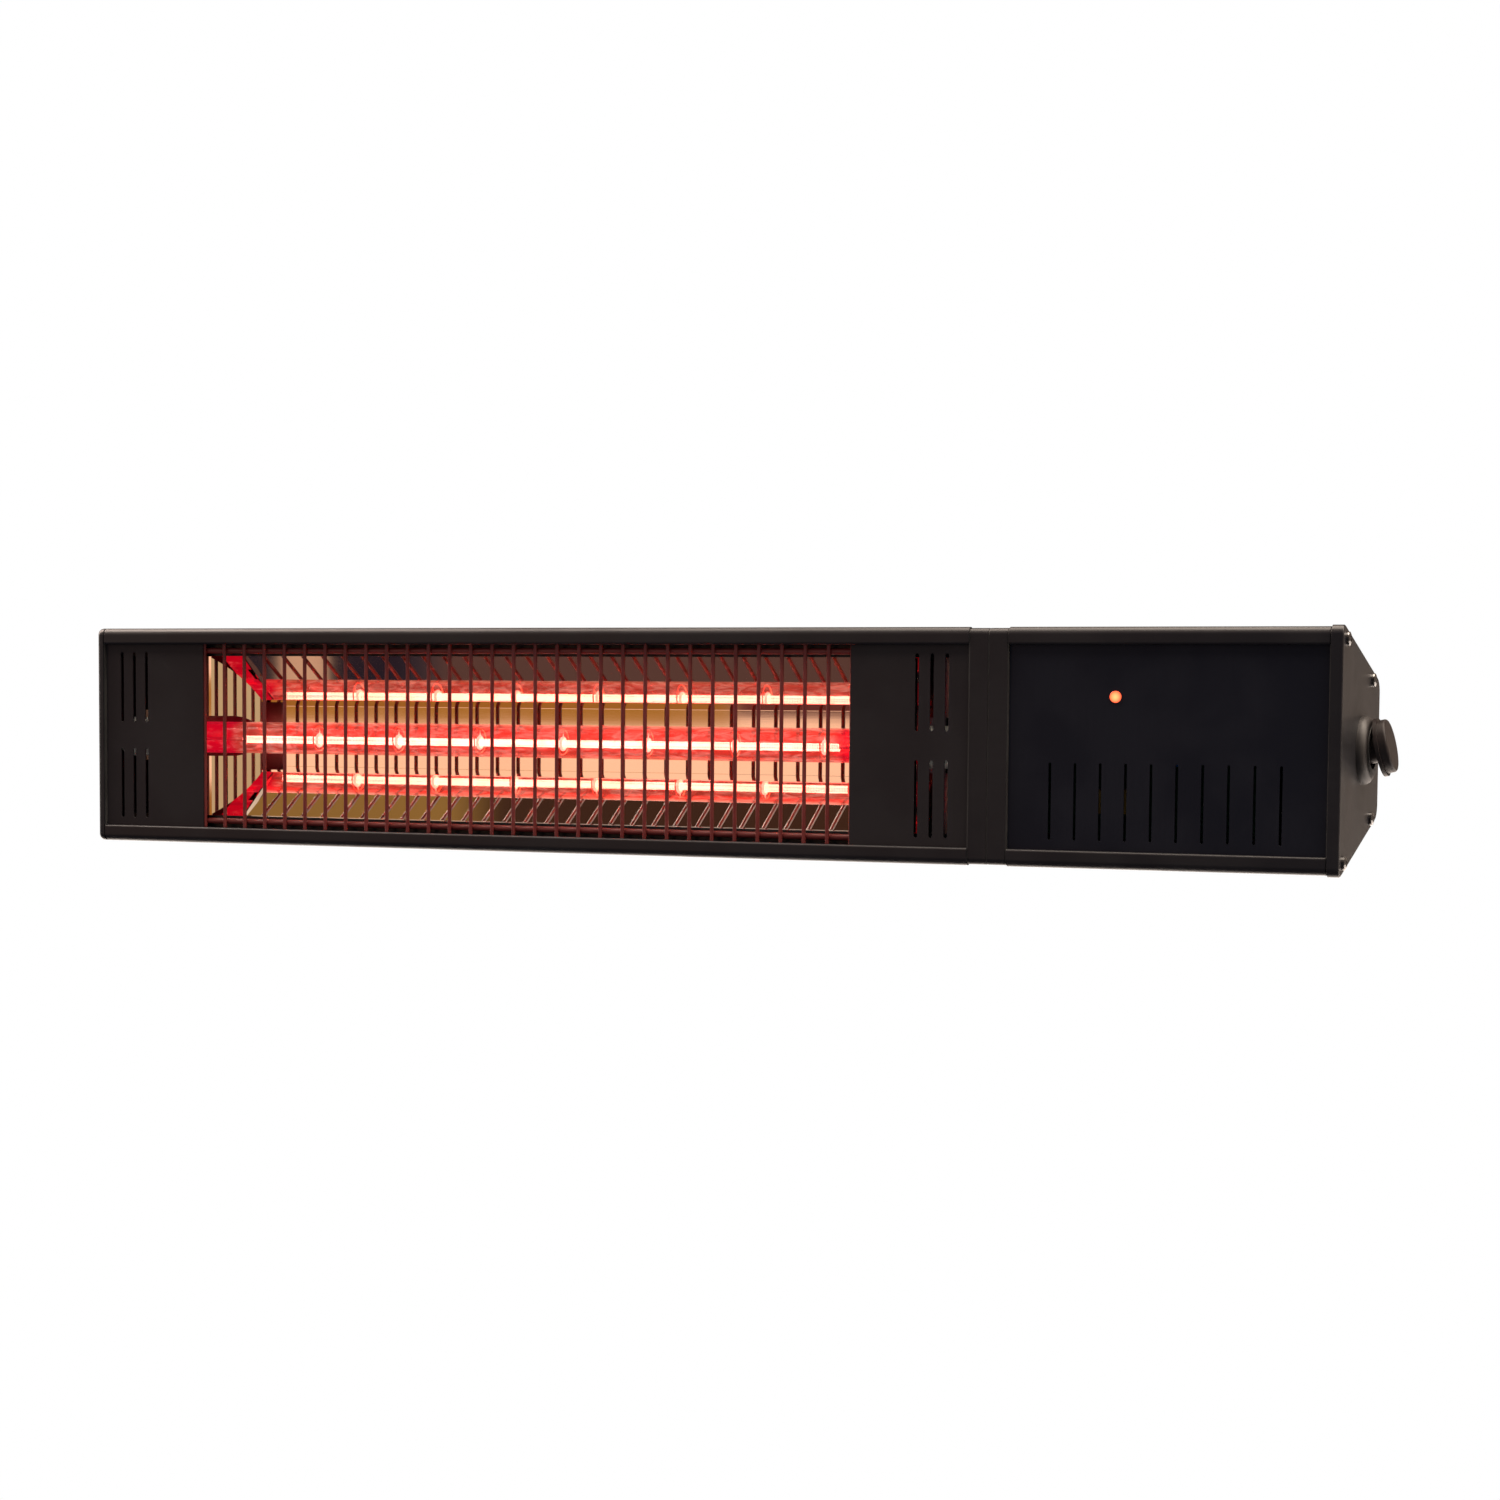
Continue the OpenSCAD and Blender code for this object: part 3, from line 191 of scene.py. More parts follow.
def softened(node, width_mm, segments=2, smooth_deg=32, bevel_deg=35, piece=None):
    """The CAD part with broken edges, standing for it."""
    piece = piece or welded(node)
    if width_mm:
        bevel = piece.modifiers.new("broken_edges", "BEVEL")
        bevel.width = width_mm * MM
        bevel.segments = segments
        bevel.limit_method = "ANGLE"
        bevel.angle_limit = math.radians(bevel_deg)
    smooth(piece, smooth_deg)
    weighted = piece.modifiers.new("flat_flats", "WEIGHTED_NORMAL")
    weighted.weight = 100
    weighted.keep_sharp = True
    apply_modifiers(piece)
    print(f"{piece.name}: {len(piece.data.polygons)} faces, edges broken by {width_mm} mm")
    return belongs(piece, node)


# %% [markdown]
# The extruded housings, the end caps and the sheet parts are each softened by what their
# making leaves on them: about 0.5 mm on the thick end caps, 0.15 mm on folded sheet.

# %% Soften the shell and its sheet parts
for node, width in {
    "heater_housing": 0.12,
    "control_housing": 0.12,
    "heater_inner_cap": 0.15,
    "control_inner_cap": 0.15,
    "left_cover_plate": 0.15,
    "right_cover_plate": 0.15,
    "control_panel": 0.3,
    "wall_bracket": 0.25,
    "body_bracket": 0.25,
}.items():
    softened(node, width)

# %% [markdown]
# The end caps are milled plate, and the router rounds the outer rim far more than a tumbler
# would. The rim is found by walking: from the corner that lies farthest out, along every
# sharp edge in the cap's outer plane, until the loop closes. Holes are never reached.

# %% Round the end caps' rims
SHARP_BELOW = 0.8
SAME_PLANE = 0.01 * MM
RIM_SEGMENTS = 4


def rim_of(piece, x):
    """The edges of the outline in the plane X = x."""
    mesh = piece.data
    faces_at = {}
    for face in mesh.polygons:
        for key in face.edge_keys:
            faces_at.setdefault(key, []).append(face.normal)
    near = {}
    for edge in mesh.edges:
        ends = [mesh.vertices[i] for i in edge.vertices]
        normals = faces_at.get(edge.key, [])
        sharp = len(normals) == 2 and normals[0].dot(normals[1]) < SHARP_BELOW
        if sharp and all(abs(v.co.x - x) < SAME_PLANE for v in ends):
            for vertex in ends:
                near.setdefault(vertex.index, []).append(edge)
    start = max(near, key=lambda i: mesh.vertices[i].co.z)
    reached, waiting = {start}, [start]
    while waiting:
        for edge in near[waiting.pop()]:
            for i in edge.vertices:
                if i not in reached:
                    reached.add(i)
                    waiting.append(i)
    return [edge for i in reached for edge in near[i]]


def round_rim(piece, x, width_mm):
    """Bevels the rim in the plane X = x, and counts its edges."""
    open_mesh(piece, "DESELECT")
    bpy.ops.mesh.select_mode(type="EDGE")
    close_mesh()
    rim = rim_of(piece, x)
    for edge in rim:
        edge.select = True
    bpy.ops.object.mode_set(mode="EDIT")
    bpy.ops.mesh.bevel(offset=width_mm * MM, segments=RIM_SEGMENTS, profile=0.5, affect="EDGES")
    bpy.ops.mesh.select_mode(type="VERT")
    close_mesh()
    return len(rim) // 2


for node, side, width in (("left_end_cap", 0, 2.6), ("right_end_cap", 1, 0.8)):
    cap = welded(node)
    rim_edges = round_rim(cap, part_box(node)[side].x, width)
    print(node, "rim of", rim_edges, "edges rounded by", width, "mm")
    softened(node, 0.3, piece=cap)

# %% Soften the mouldings
for node, width in {
    "lock_knobs": 0.4,
    "gland_body": 0.2,
    "gland_dome": 0.2,
    "gland_nut": 0.2,
    "switch_collar": 0.2,
    "switch_rocker": 0.25,
    "indicator_lens": 0.1,
}.items():
    softened(node, width)

# %% [markdown]
# The guard's wires and rods, the reflector and the lamp's tube are already the right shape.
# They only need smooth shading, so that their round faces reflect without facets.

# %% Smooth the round parts
for node, flat_within in {
    "guard_wires": 32,
    "guard_rods": 32,
    "reflector_trough": 20,
    "lamp_tube": 32,
    "lamp_bases": 32,
    "switch_boot": 32,
}.items():
    softened(node, 0, smooth_deg=flat_within)

# %% [markdown]
# ## The glowing coil
# A quartz lamp's filament is a tungsten wire wound into a coil. A small ring of wire is
# drawn at the coil's radius, and a Screw modifier sweeps it round the axis while moving it
# along: one turn of the modifier is one turn of the wire.

# %% Wind the coil
def beside_axis(node):
    """The centre of a part's cross-section, as (y, z)."""
    low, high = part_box(node)
    return (low.y + high.y) / 2, (low.z + high.z) / 2


coil_low, coil_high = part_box("lamp_filament")
coil_y, coil_z = beside_axis("lamp_filament")
lamp_y, lamp_z = beside_axis("lamp_tube")
coil_radius = (coil_high.z - coil_low.z) / 2
WIRE_R = 0.3 * MM
COIL_PITCH = 0.85 * MM
STEPS_PER_TURN = 12
coil_turns = round((coil_high.x - coil_low.x - 2 * WIRE_R) / COIL_PITCH)
ring_centre = (0, coil_radius - WIRE_R, 0)

pick_none()
bpy.ops.mesh.primitive_circle_add(
    vertices=6,
    radius=WIRE_R,
    location=ring_centre,
    rotation=(0, math.pi / 2, 0),
)
coil = bpy.context.active_object
coil.name = "glowing_coil"
set_down(coil)
open_mesh(coil)
bpy.ops.transform.rotate(value=math.pi / 2, orient_axis="Z", center_override=ring_centre)
close_mesh()
winding = coil.modifiers.new("winding", "SCREW")
winding.axis = "X"
winding.screw_offset = COIL_PITCH
winding.iterations = coil_turns
winding.steps = winding.render_steps = STEPS_PER_TURN
winding.use_merge_vertices = False
apply_modifiers(coil)
coil.location = (coil_low.x + WIRE_R, coil_y, coil_z)
set_down(coil)
open_mesh(coil)
bpy.ops.mesh.normals_make_consistent(inside=False)
close_mesh()
smooth(coil, 60)
belongs(coil, "lamp_filament")
print("coil:", coil_turns, "turns,", len(coil.data.polygons), "faces")

# %% [markdown]
# Each support is a ring of the same wire that touches the tube's wall, joined to a thick
# hub round the coil by three spokes. One is made from two rings and a bar, and its place
# is copied along the lamp, each copy with its own mesh, and then they become one piece.

# %% Make one filament support
support_low, support_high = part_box("filament_supports")
ring_r = (support_high.z - support_low.z) / 2
SUPPORT_WIRE_R = 0.35 * MM
SPOKE_R = 0.9 * SUPPORT_WIRE_R
HUB_R = 0.75 * MM
SPOKES = 3


def ring(radius, wire_radius, y, z):
    """A ring of wire round a point of the plane X = 0."""
    bpy.ops.mesh.primitive_torus_add(
        major_radius=radius,
        minor_radius=wire_radius,
        major_segments=32,
        minor_segments=8,
        location=(0, y, z),
        rotation=(0, math.pi / 2, 0),
    )
    return bpy.context.active_object


def joined(pieces, name):
    """One mesh made of all the pieces."""
    pick(pieces[0])
    for piece in pieces:
        piece.select_set(True)
    bpy.ops.object.join()
    piece = bpy.context.active_object
    piece.name = name
    set_down(piece)
    return piece


support_parts = [
    ring(ring_r - SUPPORT_WIRE_R, SUPPORT_WIRE_R, lamp_y, lamp_z),
    ring(coil_radius + HUB_R, HUB_R, coil_y, coil_z),
]
for turn in range(SPOKES):
    angle = math.radians(90 + 360 / SPOKES * turn)
    outward = Vector((0, math.cos(angle), math.sin(angle)))
    start = Vector((0, coil_y, coil_z)) + outward * (coil_radius + SUPPORT_WIRE_R)
    end = Vector((0, lamp_y, lamp_z)) + outward * (ring_r - SUPPORT_WIRE_R)
    bpy.ops.mesh.primitive_cylinder_add(
        vertices=8,
        radius=SPOKE_R,
        depth=(end - start).length,
        location=(start + end) / 2,
        rotation=(end - start).to_track_quat("Z", "Y").to_euler(),
    )
    support_parts.append(bpy.context.active_object)
support = joined(support_parts, "support")
print("one support:", len(support.data.polygons), "faces")

# %% Copy the support along the lamp
APART = 5 * MM
face_xs = sorted({round(v.co.x, 5) for v in NODES["filament_supports"].data.vertices})
support_xs = [x for i, x in enumerate(face_xs) if i == 0 or x - face_xs[i - 1] > APART]
copies = []
for x in support_xs:
    copy = bpy.data.objects.new("support", support.data.copy())
    copy.location.x = x + HUB_R
    bpy.context.scene.collection.objects.link(copy)
    copies.append(copy)
bpy.data.objects.remove(support)
supports = joined(copies, "coil_supports")
smooth(supports, 60)
belongs(supports, "filament_supports")
print("supports at", [round(x, 3) for x in support_xs])

# %% [markdown]
# ## The marks on the rocker
# A power switch is marked I for on and O for off, moulded a hair proud of the button and
# filled with pale paint. The O is a flattened ring and the I is a bar with round ends. Both
# are made flat at the origin and then laid on the button's face, which leans because the
# switch rests in one of its two positions.

# %% Find the rocker's face
rocker_faces = [p for p in NODES["switch_rocker"].data.polygons if p.normal.x > 0.9]
face_area = sum(p.area for p in rocker_faces)
face_normal = sum((p.normal * p.area for p in rocker_faces), Vector()) / face_area
face_centre = sum((p.center * p.area for p in rocker_faces), Vector()) / face_area
face_normal.normalize()
face_up = (Vector((0, 0, 1)) - face_normal * face_normal.z).normalized()
face_side = face_up.cross(face_normal)
print("the face leans", round(math.degrees(math.asin(face_normal.z)), 1), "degrees")

# %% Make the two marks
MARK_RISE = 0.06 * MM
MARK_SPACING = 4.4 * MM
STROKE_R = 0.46 * MM
OFF_R = 1.5 * MM
ON_REACH = 1.3 * MM


def lay_on_face(piece, up_by):
    """Turns a flat piece so that its Z is the face's normal, up_by from the middle."""
    axes = Matrix((face_side, face_up, face_normal)).transposed().to_4x4()
    place = face_centre + face_up * up_by
    piece.matrix_world = Matrix.Translation(place) @ axes
    set_down(piece)
    smooth(piece, 50)
    return belongs(piece, "switch_rocker", instead=False, slot="white_lead")


pick_none()
bpy.ops.mesh.primitive_torus_add(
    major_radius=OFF_R, minor_radius=STROKE_R, major_segments=40, minor_segments=8
)
off_mark = bpy.context.active_object
off_mark.name = "off_mark"
open_mesh(off_mark)
bpy.ops.transform.resize(value=(0.82, 1, 0.3), center_override=(0, 0, 0))
close_mesh()
lay_on_face(off_mark, -MARK_SPACING)

bpy.ops.mesh.primitive_cylinder_add(vertices=16, radius=STROKE_R, depth=2 * MARK_RISE)
on_mark = bpy.context.active_object
on_mark.name = "on_mark"
open_mesh(on_mark, "DESELECT")
close_mesh()
for end in (1, -1):
    for vertex in on_mark.data.vertices:
        vertex.select = end * vertex.co.y > 0.01 * MM
    bpy.ops.object.mode_set(mode="EDIT")
    bpy.ops.transform.translate(value=(0, end * ON_REACH, 0))
    close_mesh()
rounded = on_mark.modifiers.new("rounded", "BEVEL")
rounded.width = 0.03 * MM
rounded.segments = 2
apply_modifiers(on_mark)
lay_on_face(on_mark, MARK_SPACING)
print("marks", [len(o.data.polygons) for o in (on_mark, off_mark)], "faces")

# %% [markdown]
# ## The shared surface group
# Every real finish varies: a grain too fine to count, soft patches where it was handled or
# heated, and small scuffs. One node group makes all three from noise in the piece's own
# coordinates, and each material places it with its own sizes. It puts out a colour, a
# roughness and a height, and the shader itself stays in each material.

# %% Build the surface group
def add_socket(group, name, kind, way, value=None):
    made = group.interface.new_socket(name, in_out=way, socket_type="NodeSocket" + kind)
    if value is not None:
        made.default_value = value


def wire(tree, kind, inputs=None, **settings):
    """Adds a node, sets its settings, and gives its inputs values or links."""
    node = tree.nodes.new(kind)
    for name, value in settings.items():
        setattr(node, name, value)
    for key, value in (inputs or {}).items():
        if isinstance(value, bpy.types.NodeSocket):
            tree.links.new(value, node.inputs[key])
        else:
            node.inputs[key].default_value = value
    return node


def new_group(name, inputs, outputs):
    """A node group with these sockets, and what its inputs give inside it."""
    group = bpy.data.node_groups.new(name, "ShaderNodeTree")
    for label, kind, value in inputs:
        add_socket(group, label, kind, "INPUT", value)
    for label, kind in outputs:
        add_socket(group, label, kind, "OUTPUT")
    return group, group.nodes.new("NodeGroupInput").outputs


def own_place(tree):
    """Where a point lies in its piece's own coordinates."""
    return wire(tree, "ShaderNodeTexCoord").outputs["Object"]


def mixed(tree, factor, a, b):
    """The colour between a and b."""
    node = wire(tree, "ShaderNodeMix", data_type="RGBA")
    for socket, value in ((node.inputs[0], factor), (node.inputs[6], a), (node.inputs[7], b)):
        if isinstance(value, bpy.types.NodeSocket):
            tree.links.new(value, socket)
        else:
            socket.default_value = value
    return node.outputs[2]


def maths(tree, operation, a, b=0.0):
    return wire(tree, "ShaderNodeMath", {0: a, 1: b}, operation=operation).outputs[0]


def ramped(tree, value, low, high, to_low=0.0, to_high=1.0, smoothly=True):
    return wire(
        tree,
        "ShaderNodeMapRange",
        {"Value": value, "From Min": low, "From Max": high, "To Min": to_low, "To Max": to_high},
        interpolation_type="SMOOTHSTEP" if smoothly else "LINEAR",
    ).outputs[0]


def noise(tree, place, scale, detail=2.0, roughness=0.5, distortion=0.0):
    sizes = {"Scale": scale, "Detail": detail, "Roughness": roughness, "Distortion": distortion}
    return wire(tree, "ShaderNodeTexNoise", {"Vector": place, **sizes}).outputs["Fac"]


def vectors(tree, operation, a, b):
    return wire(tree, "ShaderNodeVectorMath", {0: a, 1: b}, operation=operation).outputs[0]


surface, given = new_group(
    "surface_variation",
    (
        ("Colour", "Color", (0.5, 0.5, 0.5, 1)),
        ("Patch Colour", "Color", (0.5, 0.5, 0.5, 1)),
        ("Scuff Colour", "Color", (0.5, 0.5, 0.5, 1)),
        ("Grain per Metre", "Float", 2000.0),
        ("Stretch", "Vector", (1, 1, 1)),
        ("Patches per Metre", "Float", 30.0),
        ("Scuffs", "Float", 0.1),
        ("Roughness", "Float", 0.4),
        ("Roughness Spread", "Float", 0.1),
    ),
    (("Colour", "Color"), ("Roughness", "Float"), ("Height", "Float")),
)
plus, minus, times, larger = (
    partial(maths, surface, operation) for operation in ("ADD", "SUBTRACT", "MULTIPLY", "MAXIMUM")
)
place = own_place(surface)
stretched = vectors(surface, "MULTIPLY", place, given["Stretch"])
grain = noise(surface, stretched, given["Grain per Metre"], 2.0, 0.55)
patches = ramped(surface, noise(surface, place, given["Patches per Metre"], 3.0, 0.5, 0.4), 0.38, 0.62)
scuffs_per_metre = times(given["Patches per Metre"], 4.0)
scratch = ramped(surface, noise(surface, stretched, scuffs_per_metre, 8.0, 0.75, 0.6), 0.6, 0.72)
scuffed = times(scratch, given["Scuffs"])
shade = mixed(surface, times(patches, grain), given["Colour"], given["Patch Colour"])
shade = mixed(surface, scuffed, shade, given["Scuff Colour"])
swing = minus(plus(times(grain, 0.5), times(patches, 0.5)), 0.5)
rough = plus(given["Roughness"], times(swing, given["Roughness Spread"]))
rough = larger(plus(rough, times(scuffed, 0.1)), 0.01)
height = minus(grain, times(scuffed, 0.5))
wire(surface, "NodeGroupOutput", {"Colour": shade, "Roughness": rough, "Height": height})
print("surface group:", len(surface.nodes), "nodes")

# %% [markdown]
# A finish is then a short list of numbers: its colours, how fine and how stretched its
# grain is, how rough it is, and how deep the bump goes. Extruded and brushed metal have
# grain drawn out along X, and the control panel was brushed up and down.

# %% A material from a list of numbers
def rgba(colour):
    return (*colour, 1.0)


def new_material(name):
    """A new material, its node tree and its shader."""
    material = bpy.data.materials.new(name)
    material.use_nodes = True
    return material, material.node_tree, material.node_tree.nodes["Principled BSDF"]


def raised(tree, height, strength, deep_mm):
    """The direction of a surface that is raised by the height."""
    depths = {"Strength": strength, "Distance": deep_mm * MM}
    return wire(tree, "ShaderNodeBump", {"Height": height, **depths}).outputs["Normal"]


def finish(name, colour, patch, scuff, grain, stretch=(1, 1, 1), patches=30.0, scuffs=0.1,
           rough=0.4, spread=0.1, bump=0.1, deep_mm=0.05, metal=0.0, specular=0.5, coat=0.0):
    """Makes a material, and keeps it in the list of finishes."""
    material, tree, shader = new_material(name)
    group = wire(
        tree,
        "ShaderNodeGroup",
        {
            "Colour": rgba(colour),
            "Patch Colour": rgba(patch),
            "Scuff Colour": rgba(scuff),
            "Grain per Metre": grain,
            "Stretch": stretch,
            "Patches per Metre": patches,
            "Scuffs": scuffs,
            "Roughness": rough,
            "Roughness Spread": spread,
        },
        node_tree=surface,
        label=name,
    )
    tree.links.new(group.outputs["Colour"], shader.inputs["Base Color"])
    tree.links.new(group.outputs["Roughness"], shader.inputs["Roughness"])
    tree.links.new(raised(tree, group.outputs["Height"], bump, deep_mm), shader.inputs["Normal"])
    shader.inputs["Metallic"].default_value = metal
    shader.inputs["Specular IOR Level"].default_value = specular
    shader.inputs["Coat Weight"].default_value = coat
    finishes[name] = material
    return material


ALONG = (0.04, 1, 1)
finishes = {}
print("surface inputs:", [s.name for s in surface.interface.items_tree if s.in_out == "INPUT"][:4])

# %% [markdown]
# ## Black metals
# The housings are extruded aluminium, anodised black: faint lines run along them. The cover
# plates and the panel are painted sheet, and the brackets and wires have a powder coat with
# its fine orange peel. All are satin, and none is quite neutral. The wires' dark red is
# painted red light of the lamp, and the panel's blue tint is a painted reflection.

# %% Black aluminium, sheet, steel and wire
finish(
    "black_aluminium", (0.0062, 0.0062, 0.0078), (0.0085, 0.0085, 0.0100), (0.05, 0.048, 0.046),
    2600, ALONG, patches=22, scuffs=0.06, rough=0.34, spread=0.12, bump=0.12, specular=0.24,
)
finish(
    "black_sheet", (0.0085, 0.0072, 0.0085), (0.0110, 0.0095, 0.0105), (0.05, 0.045, 0.045),
    1800, patches=26, scuffs=0.05, rough=0.44, spread=0.12, bump=0.14, specular=0.16,
)
# The panel's blue tint is a painted reflection of the dark bluish room that its face mirrors.
finish(
    "panel_sheet", (0.0042, 0.0048, 0.0080), (0.0060, 0.0066, 0.0105), (0.03, 0.03, 0.035),
    1500, (1, 1, 0.03), patches=24, scuffs=0.04, rough=0.36, spread=0.14, bump=0.12, specular=0.12,
)
finish(
    "black_steel", (0.0105, 0.0100, 0.0105), (0.015, 0.014, 0.0145), (0.09, 0.085, 0.08),
    1500, patches=35, scuffs=0.12, rough=0.42, spread=0.14, bump=0.25, specular=0.4,
)
# The wires' coat is black; their dark red colour and red scuffs are painted red light of the lamp's
# glow.
finish(
    "black_wire", (0.078, 0.009, 0.008), (0.100, 0.012, 0.010), (0.16, 0.05, 0.04),
    1800, patches=60, scuffs=0.08, rough=0.38, spread=0.14, bump=0.15, specular=0.35,
)
print("black finishes:", sorted(finishes))

# %% [markdown]
# ## Bright metals
# The reflector is rolled mirror sheet: nearly smooth, with the mill's lines along X and a
# warm tint from the heat. Screws and bolts are zinc, the shield and heat sink are plain
# brushed aluminium, and the earth screw and the switch's blades are brass.

# %% Reflector sheet, zinc, plain aluminium and brass
finish(
    "bright_aluminium", (0.95, 0.90, 0.83), (0.92, 0.86, 0.77), (0.80, 0.72, 0.62),
    900, (0.02, 1, 1), patches=14, scuffs=0.05, rough=0.035, spread=0.02, bump=0.015, deep_mm=0.02,
    metal=1.0,
)
finish(
    "zinc_steel", (0.60, 0.60, 0.61), (0.50, 0.50, 0.50), (0.35, 0.33, 0.30),
    2500, patches=90, scuffs=0.25, rough=0.32, spread=0.16, bump=0.1, metal=1.0,
)
finish(
    "plain_aluminium", (0.34, 0.32, 0.31), (0.26, 0.24, 0.23), (0.45, 0.44, 0.43),
    1400, ALONG, patches=40, scuffs=0.15, rough=0.42, spread=0.14, bump=0.12, metal=1.0,
)
finish(
    "brass", (0.80, 0.60, 0.26), (0.62, 0.43, 0.18), (0.40, 0.26, 0.12),
    2200, patches=120, scuffs=0.2, rough=0.3, spread=0.16, bump=0.1, metal=1.0,
)
print("all finishes so far:", len(finishes))

# %% [markdown]
# ## Plastics, rubber, ceramic and the board
# Moulded parts have a spark-eroded grain, rubber has a chalky bloom, the lamp's bases are
# unglazed steatite with dark specks, and the lead's sleeve is silicone rubber. The board
# has dark green solder resist, with the relay in blue and the capacitor in a deep yellow.

# %% The quieter finishes
for name, colour, patch, scuff, numbers in (
    ("black_plastic", (0.0115, 0.0100, 0.0100), (0.0165, 0.0145, 0.014), (0.07, 0.065, 0.06),
     (2200, 0.50, 0.22, 0.36)),
    ("rocker_plastic", (0.0110, 0.0085, 0.0085), (0.016, 0.0125, 0.012), (0.06, 0.055, 0.055),
     (3000, 0.38, 0.12, 0.12)),
    ("rubber", (0.0120, 0.0115, 0.0115), (0.022, 0.021, 0.02), (0.05, 0.05, 0.048),
     (1600, 0.62, 0.25, 0.35)),
    ("nylon", (0.72, 0.70, 0.64), (0.64, 0.61, 0.54), (0.45, 0.43, 0.40), (1500, 0.45, 0.12, 0.5)),
    ("ceramic", (0.74, 0.70, 0.62), (0.68, 0.62, 0.52), (0.30, 0.24, 0.18), (900, 0.72, 0.35, 0.4)),
    ("white_lead", (0.66, 0.65, 0.62), (0.56, 0.55, 0.52), (0.35, 0.34, 0.32), (1200, 0.5, 0.3, 0.4)),
    ("green_board", (0.006, 0.040, 0.018), (0.009, 0.060, 0.026), (0.12, 0.15, 0.06),
     (500, 0.3, 0.1, 0.4)),
    ("blue_plastic", (0.02, 0.12, 0.38), (0.03, 0.15, 0.44), (0.2, 0.3, 0.5), (1800, 0.36, 0.15, 0.5)),
    ("yellow_plastic", (0.20, 0.12, 0.018), (0.17, 0.10, 0.015), (0.25, 0.18, 0.09),
     (1800, 0.34, 0.15, 0.5)),
):
    grain_size, rough_value, bump_value, shine = numbers
    finish(
        name, colour, patch, scuff, grain_size, patches=45, scuffs=0.1,
        rough=rough_value, spread=0.14, bump=bump_value, specular=shine,
    )
print("finishes:", len(finishes))

# %% [markdown]
# ## Ruby quartz
# The lamp's tube has a ruby coating that holds back the glare. It is glass, so the coil
# shows through it, and the coating also scatters some of the light and glows red itself.
# The coating is uneven: streaks of noise drawn out along the tube vary its glow, and a
# light bump bends what is seen through it. Beside the coil it glows pink, and past the
# coil's ends it stays a deep red. Its right end lies in the dark behind the cover plate,
# and fades there.

# %% The ruby streaks
streaks, given = new_group(
    "ruby_streaks",
    (
        ("Deep", "Color", (0.17, 0.0012, 0.010, 1)),
        ("Deep Pale", "Color", (0.34, 0.050, 0.060, 1)),
        ("Lit Deep", "Color", (0.10, 0.022, 0.014, 1)),
        ("Lit Pale", "Color", (0.26, 0.135, 0.105, 1)),
        ("Streaks per Metre", "Float", 260.0),
        ("Lit Middle", "Float", 0.0),
        ("Lit Half Length", "Float", 0.1),
        ("Shaded Glow", "Color", (0.020, 0.0003, 0.0012, 1)),
    ),
    (("Colour", "Color"), ("Height", "Float")),
)
place = own_place(streaks)
drawn = vectors(streaks, "MULTIPLY", place, (0.3, 1, 1))
blotches = noise(streaks, drawn, given["Streaks per Metre"], 4.0, 0.6, 1.2)
lit_glow = mixed(streaks, ramped(streaks, blotches, 0.42, 0.68), given["Lit Deep"], given["Lit Pale"])
deep_glow = mixed(streaks, ramped(streaks, blotches, 0.56, 0.70), given["Deep"], given["Deep Pale"])
along = wire(streaks, "ShaderNodeSeparateXYZ", {0: place}).outputs[0]
minus = partial(maths, streaks, "SUBTRACT")
right_of_middle = minus(along, given["Lit Middle"])
past_end = minus(maths(streaks, "ABSOLUTE", right_of_middle), given["Lit Half Length"])
past_right = minus(right_of_middle, given["Lit Half Length"])
lit_share = ramped(streaks, past_end, -3 * MM, 5 * MM, 1.0, 0.0)
shaded_share = ramped(streaks, past_right, 14 * MM, 24 * MM)
shaded_glow = mixed(streaks, shaded_share, deep_glow, given["Shaded Glow"])
glow = mixed(streaks, lit_share, shaded_glow, lit_glow)
wire(streaks, "NodeGroupOutput", {"Colour": glow, "Height": blotches})

ruby, tree, shader = new_material("ruby_glass")
group = wire(
    tree,
    "ShaderNodeGroup",
    {"Lit Middle": (coil_low.x + coil_high.x) / 2, "Lit Half Length": (coil_high.x - coil_low.x) / 2},
    node_tree=streaks,
)
tree.links.new(group.outputs["Colour"], shader.inputs["Emission Color"])
tree.links.new(raised(tree, group.outputs["Height"], 0.25, 0.3), shader.inputs["Normal"])
for key, value in {
    "Base Color": (0.80, 0.14, 0.14, 1),
    "Transmission Weight": 1.0,
    "Roughness": 0.08,
    "IOR": 1.2,
    "Emission Strength": 1.0,
}.items():
    shader.inputs[key].default_value = value
finishes["ruby_glass"] = ruby
print("ruby glass:", len(tree.nodes), "nodes")

# %% [markdown]
# ## Things that glow
# The coil runs near 2000 degrees, and seen through the red tube it is almost white. Its
# supports are a little cooler. The pilot light is an amber lens lit from inside. Each
# glow is a brightness on the shader, and noise keeps it from being quite even.

# %% The coil and the pilot light
def glowing(name, hot, warm, strength, per_metre, rough_value=0.4):
    """A finish that gives light, between warm and hot by noise."""
    material = finish(name, warm, warm, hot, 900, patches=per_metre, scuffs=0.0, rough=rough_value)
    tree = material.node_tree
    shader = tree.nodes["Principled BSDF"]
    flicker = ramped(tree, noise(tree, own_place(tree), per_metre), 0.35, 0.65)
    tree.links.new(mixed(tree, flicker, rgba(warm), rgba(hot)), shader.inputs["Emission Color"])
    shader.inputs["Emission Strength"].default_value = strength
    return material


glowing("tungsten", (1.0, 0.95, 0.82), (1.0, 0.88, 0.66), 7.0, 90)
glowing("amber_lens", (1.0, 0.12, 0.03), (1.0, 0.05, 0.012), 1.8, 700, 0.2)
print("glowing:", [m for m in finishes if m in ("tungsten", "amber_lens")])

# %% [markdown]
# The supports take their heat from the coil, so they are white beside it and fall off to a
# dull red at the tube's wall. A group measures the distance from the lamp's axis and turns
# it into a colour of light.

